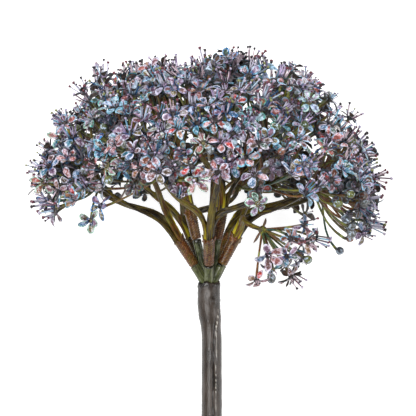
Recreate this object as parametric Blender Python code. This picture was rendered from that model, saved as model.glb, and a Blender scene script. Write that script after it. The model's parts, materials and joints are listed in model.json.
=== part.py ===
"""Trachelium flower head on a short cut stem, lying on its side.

The head is worked out upright, in its own axes, with the origin at the top of the stem:
X to the right, Y up the stem, Z towards the side that faces the viewer. It is then laid
down round X until the stem's cut end and the lowest flowers touch the ground (Z = 0).

From the bottom up it holds a dark stem, a crown of green prongs seated in the stem's top,
a ridged sleeve pushed on each prong, three flat branches rising from each sleeve, and at
the end of each branch an umbel: a small hub with thin rays, each ending in a floret.
"""

import math
import random
from dataclasses import dataclass, field

import bmesh
import bpy
from mathutils import Matrix, Vector

MM = 0.001
GAP = 0.3 * MM
SHARP_EDGE = math.radians(40)

# Stem
STEM_LENGTH = 80 * MM
STEM_RADIUS = 4.1 * MM
COLLAR_RADIUS = 4.5 * MM
COLLAR_LENGTH = 12 * MM
COLLAR_TAPER = 6 * MM
RIM_CHAMFER = (0.3 * MM, 0.8 * MM)
WAIST_SHARE = 0.97
WAIST_PLACE = 0.6
STEM_SIDES = 14
RECESS_RADIUS = 3.85 * MM
RECESS_DEPTH = 6 * MM
PLUG_DROP = 0.2 * MM

# Prongs of the crown and the sleeves on them
PRONG_SIDES = 8
PRONG_ROOT = 1.6 * MM
PRONG_ROOT_SHARE = 0.9
PEG_RADIUS = 1.0 * MM
PEG_LENGTH = 4.5 * MM
SLEEVE_RADIUS = 2.15 * MM
SLEEVE_LENGTH = 12 * MM
SLEEVE_FOOT_SHARE = 0.9
SLEEVE_TOP_SHARE = 1.05
SLEEVE_SIDES = 10
SLEEVE_RIDGES = 3
RIDGE_DEPTH = 0.15 * MM
RIDGE_WIDTH = 0.5 * MM


@dataclass
class Tier:
    """A ring of prongs in the crown. Each stand is a prong's (azimuth, lean) in degrees."""

    foot: float
    prong_radius: float
    prong_length: float
    stands: tuple


OUTER_TIER = Tier(
    foot=1.4 * MM,
    prong_radius=1.85 * MM,
    prong_length=8.5 * MM,
    stands=((0, 30), (72, 28), (144, 32), (216, 31), (288, 33)),
)
INNER_TIER = Tier(
    foot=0.9 * MM,
    prong_radius=1.45 * MM,
    prong_length=18 * MM,
    stands=((40, 14), (165, 14), (290, 14)),
)
BRANCHES_PER_SPRAY = 3

# Branches
BRANCH_FOOT_OFFSET = 1.25 * MM
BRANCH_FOOT = (1.6 * MM, 1.1 * MM)
BRANCH_MIDDLE = (2.5 * MM, 1.0 * MM)
BRANCH_TIP = (1.4 * MM, 1.1 * MM)
BRANCH_WIDEST = 1 / 3
BRANCH_SEGMENTS = 7
BRANCH_PULL = 0.45

# Umbels and florets
UMBELS_ON_DOME = 23
FLORETS_ON_DOME = 368
HUB_RADIUS = 1.7 * MM
RAY_LENGTH = 25 * MM
RAY_RADIUS = 0.5 * MM
FLORET_RADIUS = 4.3 * MM
FLORET_SIZES = (0.9, 1.03)
BUD_RADIUS = 2.1 * MM
CALYX_LENGTH = 1.7 * MM
THROAT_RADIUS = 0.8 * MM
THROAT_HEIGHT = 0.35 * MM
TUFT_HEIGHT = 4.0 * MM
PETALS = 5
TUFT_SIDES = 3
BUD_SHARE = 0.07

# Shape of the head: distance of the florets from the stem's top, by angle from the stem's axis
HEAD_PROFILE = (
    (0, 88.5),
    (27, 92.5),
    (40, 87.5),
    (50, 84),
    (60, 82),
    (70, 74),
    (80, 64),
    (95, 52),
)
RIM_FRONT = 56
RIM_LEFT_DROP = 13
RIM_RIGHT_DROP = 22
RIM_BACK_DROP = 4
HUB_SHARE = 0.88
HUB_LIFT = 80 * MM
HUB_LIFT_FROM = 0.76
DOMING = 4.0 * MM
DOMING_REACH = 20 * MM
CLUSTERING = 0.92
DEPTH_JITTER = (-5.0 * MM, 2.0 * MM)
FACING_JITTER = 0.28
GOLDEN_ANGLE = math.pi * (3 - math.sqrt(5))
HUB_SPIRAL_START = math.radians(20)
FLORET_SPIRAL_START = math.radians(75)
SEED = 14

# The umbel that hangs below the canopy, at the front right
HANGING_HUB = Vector((21.0, 21.5, 34.0)) * MM
HANGING_AXIS = Vector((0.60, -0.60, 0.42)).normalized()
HANGING_ARRIVAL = Vector((0.75, -0.25, 0.45)).normalized()
HANGING_FLORETS = 14
HANGING_RAY = 21 * MM
HANGING_RAY_SIZES = (0.9, 1.08)
HANGING_SPREAD = math.radians(47)

# Windows in the canopy as the viewer sees it: (left, right, low, high, whether the florets on
# the near side are buds there). No floret stands in them on the far side of the head.
WINDOWS = (
    (44 * MM, 62.2 * MM, 10 * MM, 37 * MM, True),
    (-67 * MM, -43 * MM, 24 * MM, 36 * MM, False),
)
# Florets that hang out of the canopy, each on a longer ray of the nearest umbel
STRAY_FLORETS = (
    (-11.5, 34.5, 62.0),
    (-5.5, 41.0, 70.0),
    (19.0, 31.5, 64.0),
    (-46.5, 25.0, 22.0),
    (-61.0, 28.5, 14.0),
)

# How far the lowest rays give when the head lies on the ground
REST_GIVE = math.radians(1.6)


@dataclass
class Floret:
    """A five-petalled flower at the end of a ray, or a closed bud."""

    centre: Vector
    facing: Vector
    radius: float


@dataclass
class Umbel:
    """A hub at the end of a branch, with its florets. The outward direction is its axis."""

    hub: Vector
    axis: Vector
    arrival: Vector
    florets: list = field(default_factory=list)


@dataclass
class Spray:
    """A prong with its sleeve, and the umbels whose branches rise from the sleeve."""

    foot: Vector
    direction: Vector
    prong_radius: float
    prong_length: float
    umbels: list


# Layout


def outward(polar, azimuth):
    """Unit vector at an angle from the stem's axis, turned from the viewer's side to the right."""
    return Vector(
        (
            math.sin(polar) * math.sin(azimuth),
            math.cos(polar),
            math.sin(polar) * math.cos(azimuth),
        )
    )


def azimuth_of(point):
    return math.atan2(point.x, point.z)


def head_radius(polar):
    """Distance of the florets from the stem's top, straight between the profile's points."""
    angle = math.degrees(polar)
    for (low, near), (high, far) in zip(HEAD_PROFILE, HEAD_PROFILE[1:]):
        if angle <= high:
            t = (angle - low) / (high - low)
            return (near + (far - near) * t) * MM
    return HEAD_PROFILE[-1][1] * MM


def rim_polar(azimuth):
    """How far down the canopy reaches: least at the front, furthest at the right."""
    side_drop = RIM_RIGHT_DROP if math.sin(azimuth) > 0 else RIM_LEFT_DROP
    side = math.sin(azimuth) ** 2
    back = max(0.0, -math.cos(azimuth))
    return math.radians(RIM_FRONT + side_drop * side + RIM_BACK_DROP * back)


def golden_spread(count, start, share=1.0):
    """Directions spread evenly over the canopy on a golden-angle spiral."""
    found = []
    for i in range(count):
        azimuth = start + i * GOLDEN_ANGLE
        cap = 1 - math.cos(rim_polar(azimuth) * share)
        polar = math.acos(1 - cap * (i + 0.5) / count)
        found.append((polar, azimuth))
    return found


def jittered(direction, rng):
    """The direction, tipped a little at random."""
    tip = Vector([rng.uniform(-1, 1) for _ in range(3)])
    return (direction + tip * FACING_JITTER).normalized()


def floret_radius(rng):
    if rng.random() < BUD_SHARE:
        return BUD_RADIUS
    return FLORET_RADIUS * rng.uniform(*FLORET_SIZES)


def dome_umbels(rng):
    """The umbels of the canopy. Each floret belongs to the umbel whose axis is nearest."""
    umbels = []
    for polar, azimuth in golden_spread(UMBELS_ON_DOME, HUB_SPIRAL_START, HUB_SHARE):
        axis = outward(polar, azimuth)
        lift = HUB_LIFT * max(0.0, math.sin(polar) - HUB_LIFT_FROM)
        hub = axis * (head_radius(polar) - RAY_LENGTH) + Vector((0, lift, 0))
        umbels.append(Umbel(hub, axis, axis))
    for polar, azimuth in golden_spread(FLORETS_ON_DOME, FLORET_SPIRAL_START):
        direction = outward(polar, azimuth)
        umbel = max(umbels, key=lambda u: u.axis.dot(direction))
        direction = umbel.axis.lerp(direction, CLUSTERING).normalized()
        distance = head_radius(polar)
        off_axis = distance * umbel.axis.angle(direction)
        distance -= DOMING * (off_axis / DOMING_REACH) ** 2
        distance += rng.uniform(*DEPTH_JITTER)
        centre = direction * distance
        along_ray = (centre - umbel.hub).normalized()
        facing = jittered((along_ray + direction).normalized(), rng)
        umbel.florets.append(Floret(centre, facing, floret_radius(rng)))
    for umbel in umbels:
        umbel.florets = opened(umbel.florets)
    return umbels


def opened(florets):
    """The florets without those that a window leaves out. In one window the rest are buds."""
    kept = []
    for floret in florets:
        x, y, z = floret.centre
        frames = [w for w in WINDOWS if w[0] < x < w[1] and w[2] < y < w[3]]
        if frames and z < 0:
            continue
        if frames and frames[0][4]:
            floret = Floret(floret.centre, floret.facing, BUD_RADIUS)
        kept.append(floret)
    return kept


def hanging_umbel(rng):
    """The umbel below the canopy, its florets on a spiral round its own axis."""
    umbel = Umbel(HANGING_HUB, HANGING_AXIS, HANGING_ARRIVAL)
    side = HANGING_AXIS.cross(Vector((0, 0, 1))).normalized()
    over = HANGING_AXIS.cross(side)
    for i in range(HANGING_FLORETS):
        turn = i * GOLDEN_ANGLE
        spread = HANGING_SPREAD * math.sqrt((i + 0.5) / HANGING_FLORETS)
        across = side * math.cos(turn) + over * math.sin(turn)
        direction = HANGING_AXIS * math.cos(spread) + across * math.sin(spread)
        centre = HANGING_HUB + direction * HANGING_RAY * rng.uniform(*HANGING_RAY_SIZES)
        umbel.florets.append(Floret(centre, jittered(direction, rng), floret_radius(rng)))
    return umbel


def add_strays(umbels, rng):
    """Hangs each stray floret on the umbel whose hub is nearest."""
    for place in STRAY_FLORETS:
        centre = Vector(place) * MM
        umbel = min(umbels, key=lambda u: (u.hub - centre).length)
        facing = jittered((centre - umbel.hub).normalized(), rng)
        umbel.florets.append(Floret(centre, facing, FLORET_RADIUS))


def sprays_of(umbels, tier):
    """The tier's sprays, each with the umbels of its own sector."""
    first = math.radians(tier.stands[0][0]) - math.pi / len(tier.stands)
    in_order = sorted(
        umbels, key=lambda u: (azimuth_of(u.hub) - first) % (2 * math.pi)
    )
    made = []
    for k, (azimuth, lean) in enumerate(tier.stands):
        own = in_order[k * BRANCHES_PER_SPRAY : (k + 1) * BRANCHES_PER_SPRAY]
        foot = outward(math.pi / 2, math.radians(azimuth)) * tier.foot
        direction = outward(math.radians(lean), math.radians(azimuth))
        made.append(Spray(foot, direction, tier.prong_radius, tier.prong_length, own))
    return made


def lay_out():
    """Every spray of the head, and the angle at which the head lies on the ground."""
    rng = random.Random(SEED)
    umbels = dome_umbels(rng)
    by_height = sorted(umbels, key=lambda u: u.axis.angle(Vector((0, 1, 0))))
    inner_count = BRANCHES_PER_SPRAY * len(INNER_TIER.stands)
    outer = by_height[inner_count:] + [hanging_umbel(rng)]
    add_strays(outer, rng)
    sprays = sprays_of(outer, OUTER_TIER)
    sprays += sprays_of(by_height[:inner_count], INNER_TIER)
    tilt = rest_tilt(sprays) - REST_GIVE
    press_down(sprays, tilt)
    return sprays, tilt


def rest_tilt(sprays):
    """Angle between the stem and the ground when the cut end and the lowest floret touch it."""
    steepest = 0.0
    for spray in sprays:
        for umbel in spray.umbels:
            for floret in umbel.florets:
                depth = -floret.centre.z - STEM_RADIUS
                along = floret.centre.y + STEM_LENGTH
                steepest = max(steepest, math.atan2(depth, along))
    return steepest


def ground_up(tilt):
    """The upward direction, in the head's own axes."""
    return Vector((0, math.sin(tilt), math.cos(tilt)))


def ground_drop(tilt):
    """Height of the stem's top above the ground when the cut end's edge rests on it."""
    return STEM_LENGTH * math.sin(tilt) + STEM_RADIUS * math.cos(tilt)


def lowest_reach(floret, up):
    """How far a floret reaches below its own centre, by its petals or by its tuft."""
    lean = floret.facing.dot(up)
    by_petals = floret.radius * math.sqrt(max(0.0, 1 - lean * lean))
    by_tuft = -TUFT_HEIGHT * floret.radius / FLORET_RADIUS * lean
    return max(by_petals, by_tuft)


def press_down(sprays, tilt):
    """Lifts each floret that would reach into the ground until it only touches it."""
    up = ground_up(tilt)
    drop = ground_drop(tilt)
    for spray in sprays:
        for umbel in spray.umbels:
            for floret in umbel.florets:
                height = floret.centre.dot(up) + drop - lowest_reach(floret, up)
                if height < 0:
                    floret.centre -= up * height


# Mesh helpers


def material(name, colour, roughness):
    made = bpy.data.materials.new(name)
    made.use_nodes = True
    shader = made.node_tree.nodes["Principled BSDF"]
    shader.inputs["Base Color"].default_value = (*colour, 1)
    shader.inputs["Roughness"].default_value = roughness
    shader.inputs["Metallic"].default_value = 0
    return made


def object_from(bm, name, finish, parent):
    """A named, smooth-shaded object made from a closed mesh."""
    bmesh.ops.recalc_face_normals(bm, faces=bm.faces)
    mesh = bpy.data.meshes.new(name)
    bm.to_mesh(mesh)
    bm.free()
    mesh.materials.append(finish)
    mesh.shade_smooth()
    mesh.set_sharp_from_angle(angle=SHARP_EDGE)
    made = bpy.data.objects.new(name, mesh)
    bpy.context.scene.collection.objects.link(made)
    made.parent = parent
    return made


def across(axis):
    """Two directions square to the axis and to each other."""
    helper = Vector((1, 0, 0)) if abs(axis.x) < 0.7 else Vector((0, 0, 1))
    first = axis.cross(helper).normalized()
    return first, axis.cross(first)


def ring(centre, axis, radius, sides):
    """Points of a regular polygon round the axis."""
    first, second = across(axis)
    turns = [2 * math.pi * i / sides for i in range(sides)]
    return [centre + (first * math.cos(t) + second * math.sin(t)) * radius for t in turns]


def loft(bm, rings):
    """A closed solid through rings of the same number of points."""
    rows = [[bm.verts.new(point) for point in points] for points in rings]
    for low, high in zip(rows, rows[1:]):
        for i in range(len(low)):
            j = (i + 1) % len(low)
            bm.faces.new((low[i], low[j], high[j], high[i]))
    bm.faces.new(reversed(rows[0]))
    bm.faces.new(rows[-1])


def turned(bm, foot, axis, profile, sides):
    """A solid turned round an axis from (height, radius) steps."""
    loft(bm, [ring(foot + axis * h, axis, r, sides) for h, r in profile])


def stitch(bm, low, high, centre, axis):
    """Triangles between two rings round one axis that differ in their number of points."""
    first, second = across(axis)

    def turn_of(vertex):
        arm = vertex.co - centre
        return math.atan2(arm.dot(second), arm.dot(first)) % (2 * math.pi)

    low = sorted(low, key=turn_of)
    high = sorted(high, key=turn_of)
    i = j = 0
    while i < len(low) or j < len(high):
        next_low = turn_of(low[i]) if i < len(low) else math.inf
        next_high = turn_of(high[j]) if j < len(high) else math.inf
        behind_low, behind_high = low[i - 1], high[j - 1]
        if next_low <= next_high:
            bm.faces.new((behind_low, low[i], behind_high))
            i += 1
        else:
            bm.faces.new((behind_high, behind_low, high[j]))
            j += 1


# Stem, crown and sleeves


def build_stem(finish, parent):
    up = Vector((0, 1, 0))
    profile = (
        (-RECESS_DEPTH, RECESS_RADIUS),
        (0, RECESS_RADIUS),
        (0, COLLAR_RADIUS - RIM_CHAMFER[0]),
        (-RIM_CHAMFER[1], COLLAR_RADIUS),
        (-COLLAR_LENGTH, COLLAR_RADIUS),
        (-COLLAR_LENGTH - COLLAR_TAPER, STEM_RADIUS),
        (-STEM_LENGTH * WAIST_PLACE, STEM_RADIUS * WAIST_SHARE),
        (-STEM_LENGTH, STEM_RADIUS),
    )
    bm = bmesh.new()
    turned(bm, Vector(), up, profile, STEM_SIDES)
    return object_from(bm, "main_stem", finish, parent)


def prong_point(spray, height):
    """A point on a prong's axis, at a height above the stem's top measured along the prong."""
    return spray.foot + spray.direction * height


def build_crown(sprays, finish, parent):
    up = Vector((0, 1, 0))
    bm = bmesh.new()
    plug_radius = RECESS_RADIUS - GAP
    profile = ((-RECESS_DEPTH + GAP, plug_radius), (-PLUG_DROP, plug_radius))
    turned(bm, Vector(), up, profile, STEM_SIDES)
    crown = object_from(bm, "prong_crown", finish, parent)
    for number, spray in enumerate(sprays, 1):
        bm = bmesh.new()
        top = spray.prong_length
        profile = (
            (-PRONG_ROOT, spray.prong_radius * PRONG_ROOT_SHARE),
            (top, spray.prong_radius),
            (top, PEG_RADIUS),
            (top + PEG_LENGTH, PEG_RADIUS),
        )
        turned(bm, spray.foot, spray.direction, profile, PRONG_SIDES)
        prong = object_from(bm, f"prong_shape_{number}", finish, parent)
        prong.hide_render = True
        prong.display_type = "WIRE"
        join = crown.modifiers.new(f"prong_{number}", "BOOLEAN")
        join.operation = "UNION"
        join.solver = "EXACT"
        join.object = prong
    return crown


def sleeve_profile():
    """(height, radius) steps: the blind bore for the peg, then the ridged outside."""
    bore = PEG_RADIUS + GAP
    steps = [(PEG_LENGTH + 2 * GAP, bore), (0, bore), (0, SLEEVE_RADIUS * SLEEVE_FOOT_SHARE)]
    pitch = SLEEVE_LENGTH / (SLEEVE_RIDGES + 1)
    for i in range(SLEEVE_RIDGES):
        height = pitch * (i + 1)
        steps.append((height - RIDGE_WIDTH, SLEEVE_RADIUS))
        steps.append((height, SLEEVE_RADIUS - RIDGE_DEPTH))
    steps.append((SLEEVE_LENGTH, SLEEVE_RADIUS * SLEEVE_TOP_SHARE))
    return steps


def sleeve_top(spray):
    return prong_point(spray, spray.prong_length + GAP + SLEEVE_LENGTH)


def build_sleeve(number, spray, finish, parent):
    bm = bmesh.new()
    foot = prong_point(spray, spray.prong_length + GAP)
    turned(bm, foot, spray.direction, sleeve_profile(), SLEEVE_SIDES)
    return object_from(bm, f"spray_{number}_sleeve", finish, parent)


# Branches


def branch_feet(spray):
    """For each umbel, the offset of its branch's foot from the sleeve's axis."""
    first, second = across(spray.direction)
    top = sleeve_top(spray)
    turns = []
    for umbel in spray.umbels:
        arm = umbel.hub - top
        turns.append(math.atan2(arm.dot(second), arm.dot(first)) % (2 * math.pi))
    order = sorted(range(len(turns)), key=lambda i: turns[i])
    step = 2 * math.pi / len(turns)
    east = sum(math.cos(turns[i] - step * place) for place, i in enumerate(order))
    north = sum(math.sin(turns[i] - step * place) for place, i in enumerate(order))
    start = math.atan2(north, east)
    feet = [None] * len(turns)
    for place, i in enumerate(order):
        turn = start + step * place
        feet[i] = first * math.cos(turn) + second * math.sin(turn)
    return feet


def branch_path(spray, umbel, foot_side):
    """Points and directions from the sleeve's top to just under the umbel's hub."""
    start = sleeve_top(spray) + spray.direction * GAP
    start += foot_side * BRANCH_FOOT_OFFSET
    end = umbel.hub - umbel.arrival * (HUB_RADIUS + GAP)
    pull = (end - start).length * BRANCH_PULL
    near = start + spray.direction * pull
    far = end - umbel.arrival * pull
    points = []
    for i in range(BRANCH_SEGMENTS + 1):
        t = i / BRANCH_SEGMENTS
        s = 1 - t
        point = start * s**3 + near * 3 * s * s * t + far * 3 * s * t * t + end * t**3
        slope = (near - start) * s * s + (far - near) * 2 * s * t + (end - far) * t * t
        points.append((point, slope.normalized()))
    return points


def branch_section(t):
    """(width, thickness) of a branch: flat in the middle, narrow at both ends."""
    start, end = BRANCH_FOOT, BRANCH_MIDDLE
    share = t / BRANCH_WIDEST
    if t > BRANCH_WIDEST:
        start, end = BRANCH_MIDDLE, BRANCH_TIP
        share = (t - BRANCH_WIDEST) / (1 - BRANCH_WIDEST)
    return [a + (b - a) * share for a, b in zip(start, end)]


def build_branch(name, spray, umbel, foot_side, finish, parent):
    bm = bmesh.new()
    rings = []
    for i, (point, slope) in enumerate(branch_path(spray, umbel, foot_side)):
        out = (foot_side - slope * foot_side.dot(slope)).normalized()
        side = slope.cross(out)
        width, thickness = branch_section(i / BRANCH_SEGMENTS)
        corners = ((1, 1), (-1, 1), (-1, -1), (1, -1))
        rings.append(
            [point + side * width / 2 * u + out * thickness / 2 * v for u, v in corners]
        )
    loft(bm, rings)
    return object_from(bm, name, finish, parent)


# Umbels


def nearest_face(faces, direction):
    return max(faces, key=lambda face: face.normal.dot(direction))


def grow_floret(bm, face, floret):
    """A ray from one face of the hub, with a shallow five-sided floret and its tuft."""
    centre, facing = floret.centre, floret.facing
    size = floret.radius / FLORET_RADIUS
    middle = face.calc_center_median()
    neck = centre - facing * CALYX_LENGTH * size
    along = (neck - middle).normalized()
    foot = list(face.verts)
    collar = []
    for vertex in foot:
        arm = vertex.co - middle
        arm -= along * arm.dot(along)
        collar.append(bm.verts.new(neck + arm.normalized() * RAY_RADIUS))
    for i in range(len(foot)):
        j = (i + 1) % len(foot)
        bm.faces.new((foot[i], foot[j], collar[j], collar[i]))
    rim = [bm.verts.new(p) for p in ring(centre, facing, floret.radius, PETALS)]
    stitch(bm, collar, rim, centre, facing)
    throat_centre = centre + facing * THROAT_HEIGHT
    throat_points = ring(throat_centre, facing, THROAT_RADIUS * size, TUFT_SIDES)
    throat = [bm.verts.new(p) for p in throat_points]
    stitch(bm, rim, throat, centre, facing)
    tip = bm.verts.new(centre + facing * TUFT_HEIGHT * size)
    for i in range(TUFT_SIDES):
        bm.faces.new((throat[i], throat[(i + 1) % TUFT_SIDES], tip))


def build_umbel(name, umbel, finish, parent):
    bm = bmesh.new()
    place = Matrix.Translation(umbel.hub)
    bmesh.ops.create_icosphere(bm, subdivisions=2, radius=HUB_RADIUS, matrix=place)
    bm.normal_update()
    free = list(bm.faces)
    used = []
    by_axis = sorted(umbel.florets, key=lambda f: umbel.axis.dot(f.facing))
    for floret in by_axis:
        direction = (floret.centre - umbel.hub).normalized()
        face = nearest_face(free, direction)
        free.remove(face)
        used.append(face)
        grow_floret(bm, face, floret)
    bmesh.ops.delete(bm, geom=used, context="FACES_ONLY")
    return object_from(bm, name, finish, parent)


# The whole head


def lay_down(lying, tilt):
    """Turns the head onto its side and centres it over the origin."""
    lying.rotation_euler = (tilt, 0, 0)
    lying.location = (0, 0, ground_drop(tilt))
    bpy.context.view_layer.update()
    corners = []
    for part in lying.children:
        if not part.hide_render:
            graph = bpy.context.evaluated_depsgraph_get()
            mesh = part.evaluated_get(graph).data
            corners += [part.matrix_world @ vertex.co for vertex in mesh.vertices]
    for axis in (0, 1):
        values = [corner[axis] for corner in corners]
        lying.location[axis] = -(min(values) + max(values)) / 2
    lying.location.z -= min(corner.z for corner in corners)


def main():
    for old in list(bpy.data.objects):
        bpy.data.objects.remove(old)
    stem_finish = material("stem_bark", (0.062, 0.052, 0.046), 0.42)
    prong_finish = material("prong_green", (0.115, 0.135, 0.05), 0.5)
    sleeve_finish = material("sleeve_brown", (0.125, 0.075, 0.035), 0.55)
    branch_finish = material("branch_olive", (0.105, 0.095, 0.03), 0.5)
    floret_finish = material("floret_lilac", (0.35, 0.36, 0.55), 0.55)

    sprays, tilt = lay_out()
    lying = bpy.data.objects.new("lying_pose", None)
    bpy.context.scene.collection.objects.link(lying)
    build_stem(stem_finish, lying)
    build_crown(sprays, prong_finish, lying)
    for number, spray in enumerate(sprays, 1):
        build_sleeve(number, spray, sleeve_finish, lying)
        for letter, umbel, side in zip("abc", spray.umbels, branch_feet(spray)):
            branch = f"spray_{number}_branch_{letter}"
            build_branch(branch, spray, umbel, side, branch_finish, lying)
            build_umbel(f"spray_{number}_umbel_{letter}", umbel, floret_finish, lying)
    lay_down(lying, tilt)


main()
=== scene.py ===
"""Looks of the trachelium flower head that lies on its side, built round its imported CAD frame.

Every piece is worked out upright, in the head's own axes, with the origin at the top of the
stem: X to the right, Y up the stem, Z towards the viewer. Its mesh is then laid down the way
the CAD nodes lie. Petals, stamens and rays are grown by geometry nodes on seed points.
"""

import json
import logging
from dataclasses import dataclass, field
from enum import Enum
from math import acos, atan2, copysign, cos, degrees, exp, hypot, pi, radians, sin, sqrt
from random import Random
from typing import Callable

import bmesh
import bpy
from mathutils import Matrix, Quaternion, Vector
from mathutils.noise import noise

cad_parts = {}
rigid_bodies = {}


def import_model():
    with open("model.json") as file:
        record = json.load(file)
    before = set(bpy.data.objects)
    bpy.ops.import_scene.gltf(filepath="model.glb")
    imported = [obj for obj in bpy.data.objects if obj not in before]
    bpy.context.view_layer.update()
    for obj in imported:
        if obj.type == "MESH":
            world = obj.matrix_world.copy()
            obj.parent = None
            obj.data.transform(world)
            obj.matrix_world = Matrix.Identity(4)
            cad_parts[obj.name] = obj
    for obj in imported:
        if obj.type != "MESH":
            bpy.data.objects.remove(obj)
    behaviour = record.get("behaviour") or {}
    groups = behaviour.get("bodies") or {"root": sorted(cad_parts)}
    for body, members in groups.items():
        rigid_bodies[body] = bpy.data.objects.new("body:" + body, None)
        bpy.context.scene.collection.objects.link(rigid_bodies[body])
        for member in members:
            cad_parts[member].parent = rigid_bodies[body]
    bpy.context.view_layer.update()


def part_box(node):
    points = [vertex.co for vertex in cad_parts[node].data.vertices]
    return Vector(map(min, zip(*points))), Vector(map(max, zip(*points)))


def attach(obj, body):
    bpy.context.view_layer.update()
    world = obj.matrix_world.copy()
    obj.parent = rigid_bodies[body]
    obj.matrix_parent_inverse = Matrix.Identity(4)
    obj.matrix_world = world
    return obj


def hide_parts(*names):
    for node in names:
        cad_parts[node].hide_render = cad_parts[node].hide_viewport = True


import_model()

LOG = logging.getLogger("trachelium")
MM = 0.001
FULL_TURN = 2 * pi
GOLDEN_ANGLE = pi * (3 - sqrt(5))
# A skin's own map counts in centimetres.
MAP_SCALE = 100

Pair = tuple[float, float]
Pairs = tuple[Pair, ...]
Triple = tuple[float, float, float]
Triples = tuple[Triple, ...]
Rings = list[list[Vector]]
# A place on a ramp, and its colour as a screen shows it, 0 to 255.
Stops = tuple[tuple[float, int, int, int], ...]
# A number for a point of a skin, by the number of its ring and its place in it.
PointNumber = Callable[[int, int], float]
Socket = bpy.types.NodeSocket
Tree = bpy.types.GeometryNodeTree
Material = bpy.types.Material
Object = bpy.types.Object
Mesh = bpy.types.Mesh
Vertex = bmesh.types.BMVert


def shade(red: int, green: int, blue: int) -> Triple:
    """Turns a colour as a screen shows it, 0 to 255, into the linear numbers of a shader."""
    return tuple(((level / 255 + 0.055) / 1.055) ** 2.4 for level in (red, green, blue))


def bell(distance: float, width: float) -> float:
    """A smooth bump: 1 where the distance is 0, and almost nothing past twice the width."""
    return exp(-((distance / width) ** 2))


def ease(low: float, high: float, value: float) -> float:
    """Rises smoothly from 0 at low to 1 at high."""
    share = min(1.0, max(0.0, (value - low) / (high - low)))
    return share * share * (3 - 2 * share)


def outward(polar: float, azimuth: float) -> Vector:
    """Unit vector at an angle from the stem's axis, turned from the viewer's side to the right."""
    flat = sin(polar)
    return Vector((flat * sin(azimuth), cos(polar), flat * cos(azimuth)))


def ring_turns(sides: int) -> list[float]:
    """The turns of a ring's points, evenly spaced from 0."""
    return [FULL_TURN * j / sides for j in range(sides)]


def anywhere(rng: Random) -> Vector:
    """A random vector in the cube from -1 to 1."""
    return Vector([rng.uniform(-1, 1) for _ in range(3)])


def across(axis: Vector) -> tuple[Vector, Vector]:
    """Two directions square to the axis and to each other.

    Args:
        axis: a unit vector.

    Returns:
        The two unit vectors.
    """
    helper = Vector((1, 0, 0)) if abs(axis.x) < 0.7 else Vector((0, 0, 1))
    first = axis.cross(helper).normalized()
    return first, axis.cross(first)


def spokes(axis: Vector, turns: list[float]) -> list[Vector]:
    """Unit vectors square to the axis, one for each turn round it."""
    first, second = across(axis)
    return [first * cos(turn) + second * sin(turn) for turn in turns]


@dataclass
class Floret:
    """A five-petalled flower at the end of a ray, or a closed bud."""

    centre: Vector
    facing: Vector
    radius: float
    # Inner florets fill an umbel from within; the paints darken them with painted shade.
    inner: bool = False


@dataclass
class Umbel:
    """A hub at the end of a branch, with its florets. The outward direction is its axis."""

    hub: Vector
    axis: Vector
    arrival: Vector
    florets: list[Floret] = field(default_factory=list)


@dataclass
class Spray:
    """A prong with its sleeve, and the umbels whose branches rise from the sleeve."""

    foot: Vector
    direction: Vector
    prong_radius: float
    prong_length: float
    umbels: list[Umbel]


@dataclass(frozen=True)
class Tier:
    """A ring of prongs in the crown. Each stand is a prong's (azimuth, lean) in degrees."""

    foot: float
    prong_radius: float
    prong_length: float
    stands: Pairs


@dataclass(frozen=True)
class Window:
    """A part of the canopy, as the viewer sees it, with no florets on the head's far side."""

    left: float
    right: float
    low: float
    high: float
    buds_in_front: bool

    def frames(self, place: Vector) -> bool:
        """Whether the viewer sees the place in the window."""
        return self.left < place.x < self.right and self.low < place.y < self.high


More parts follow.
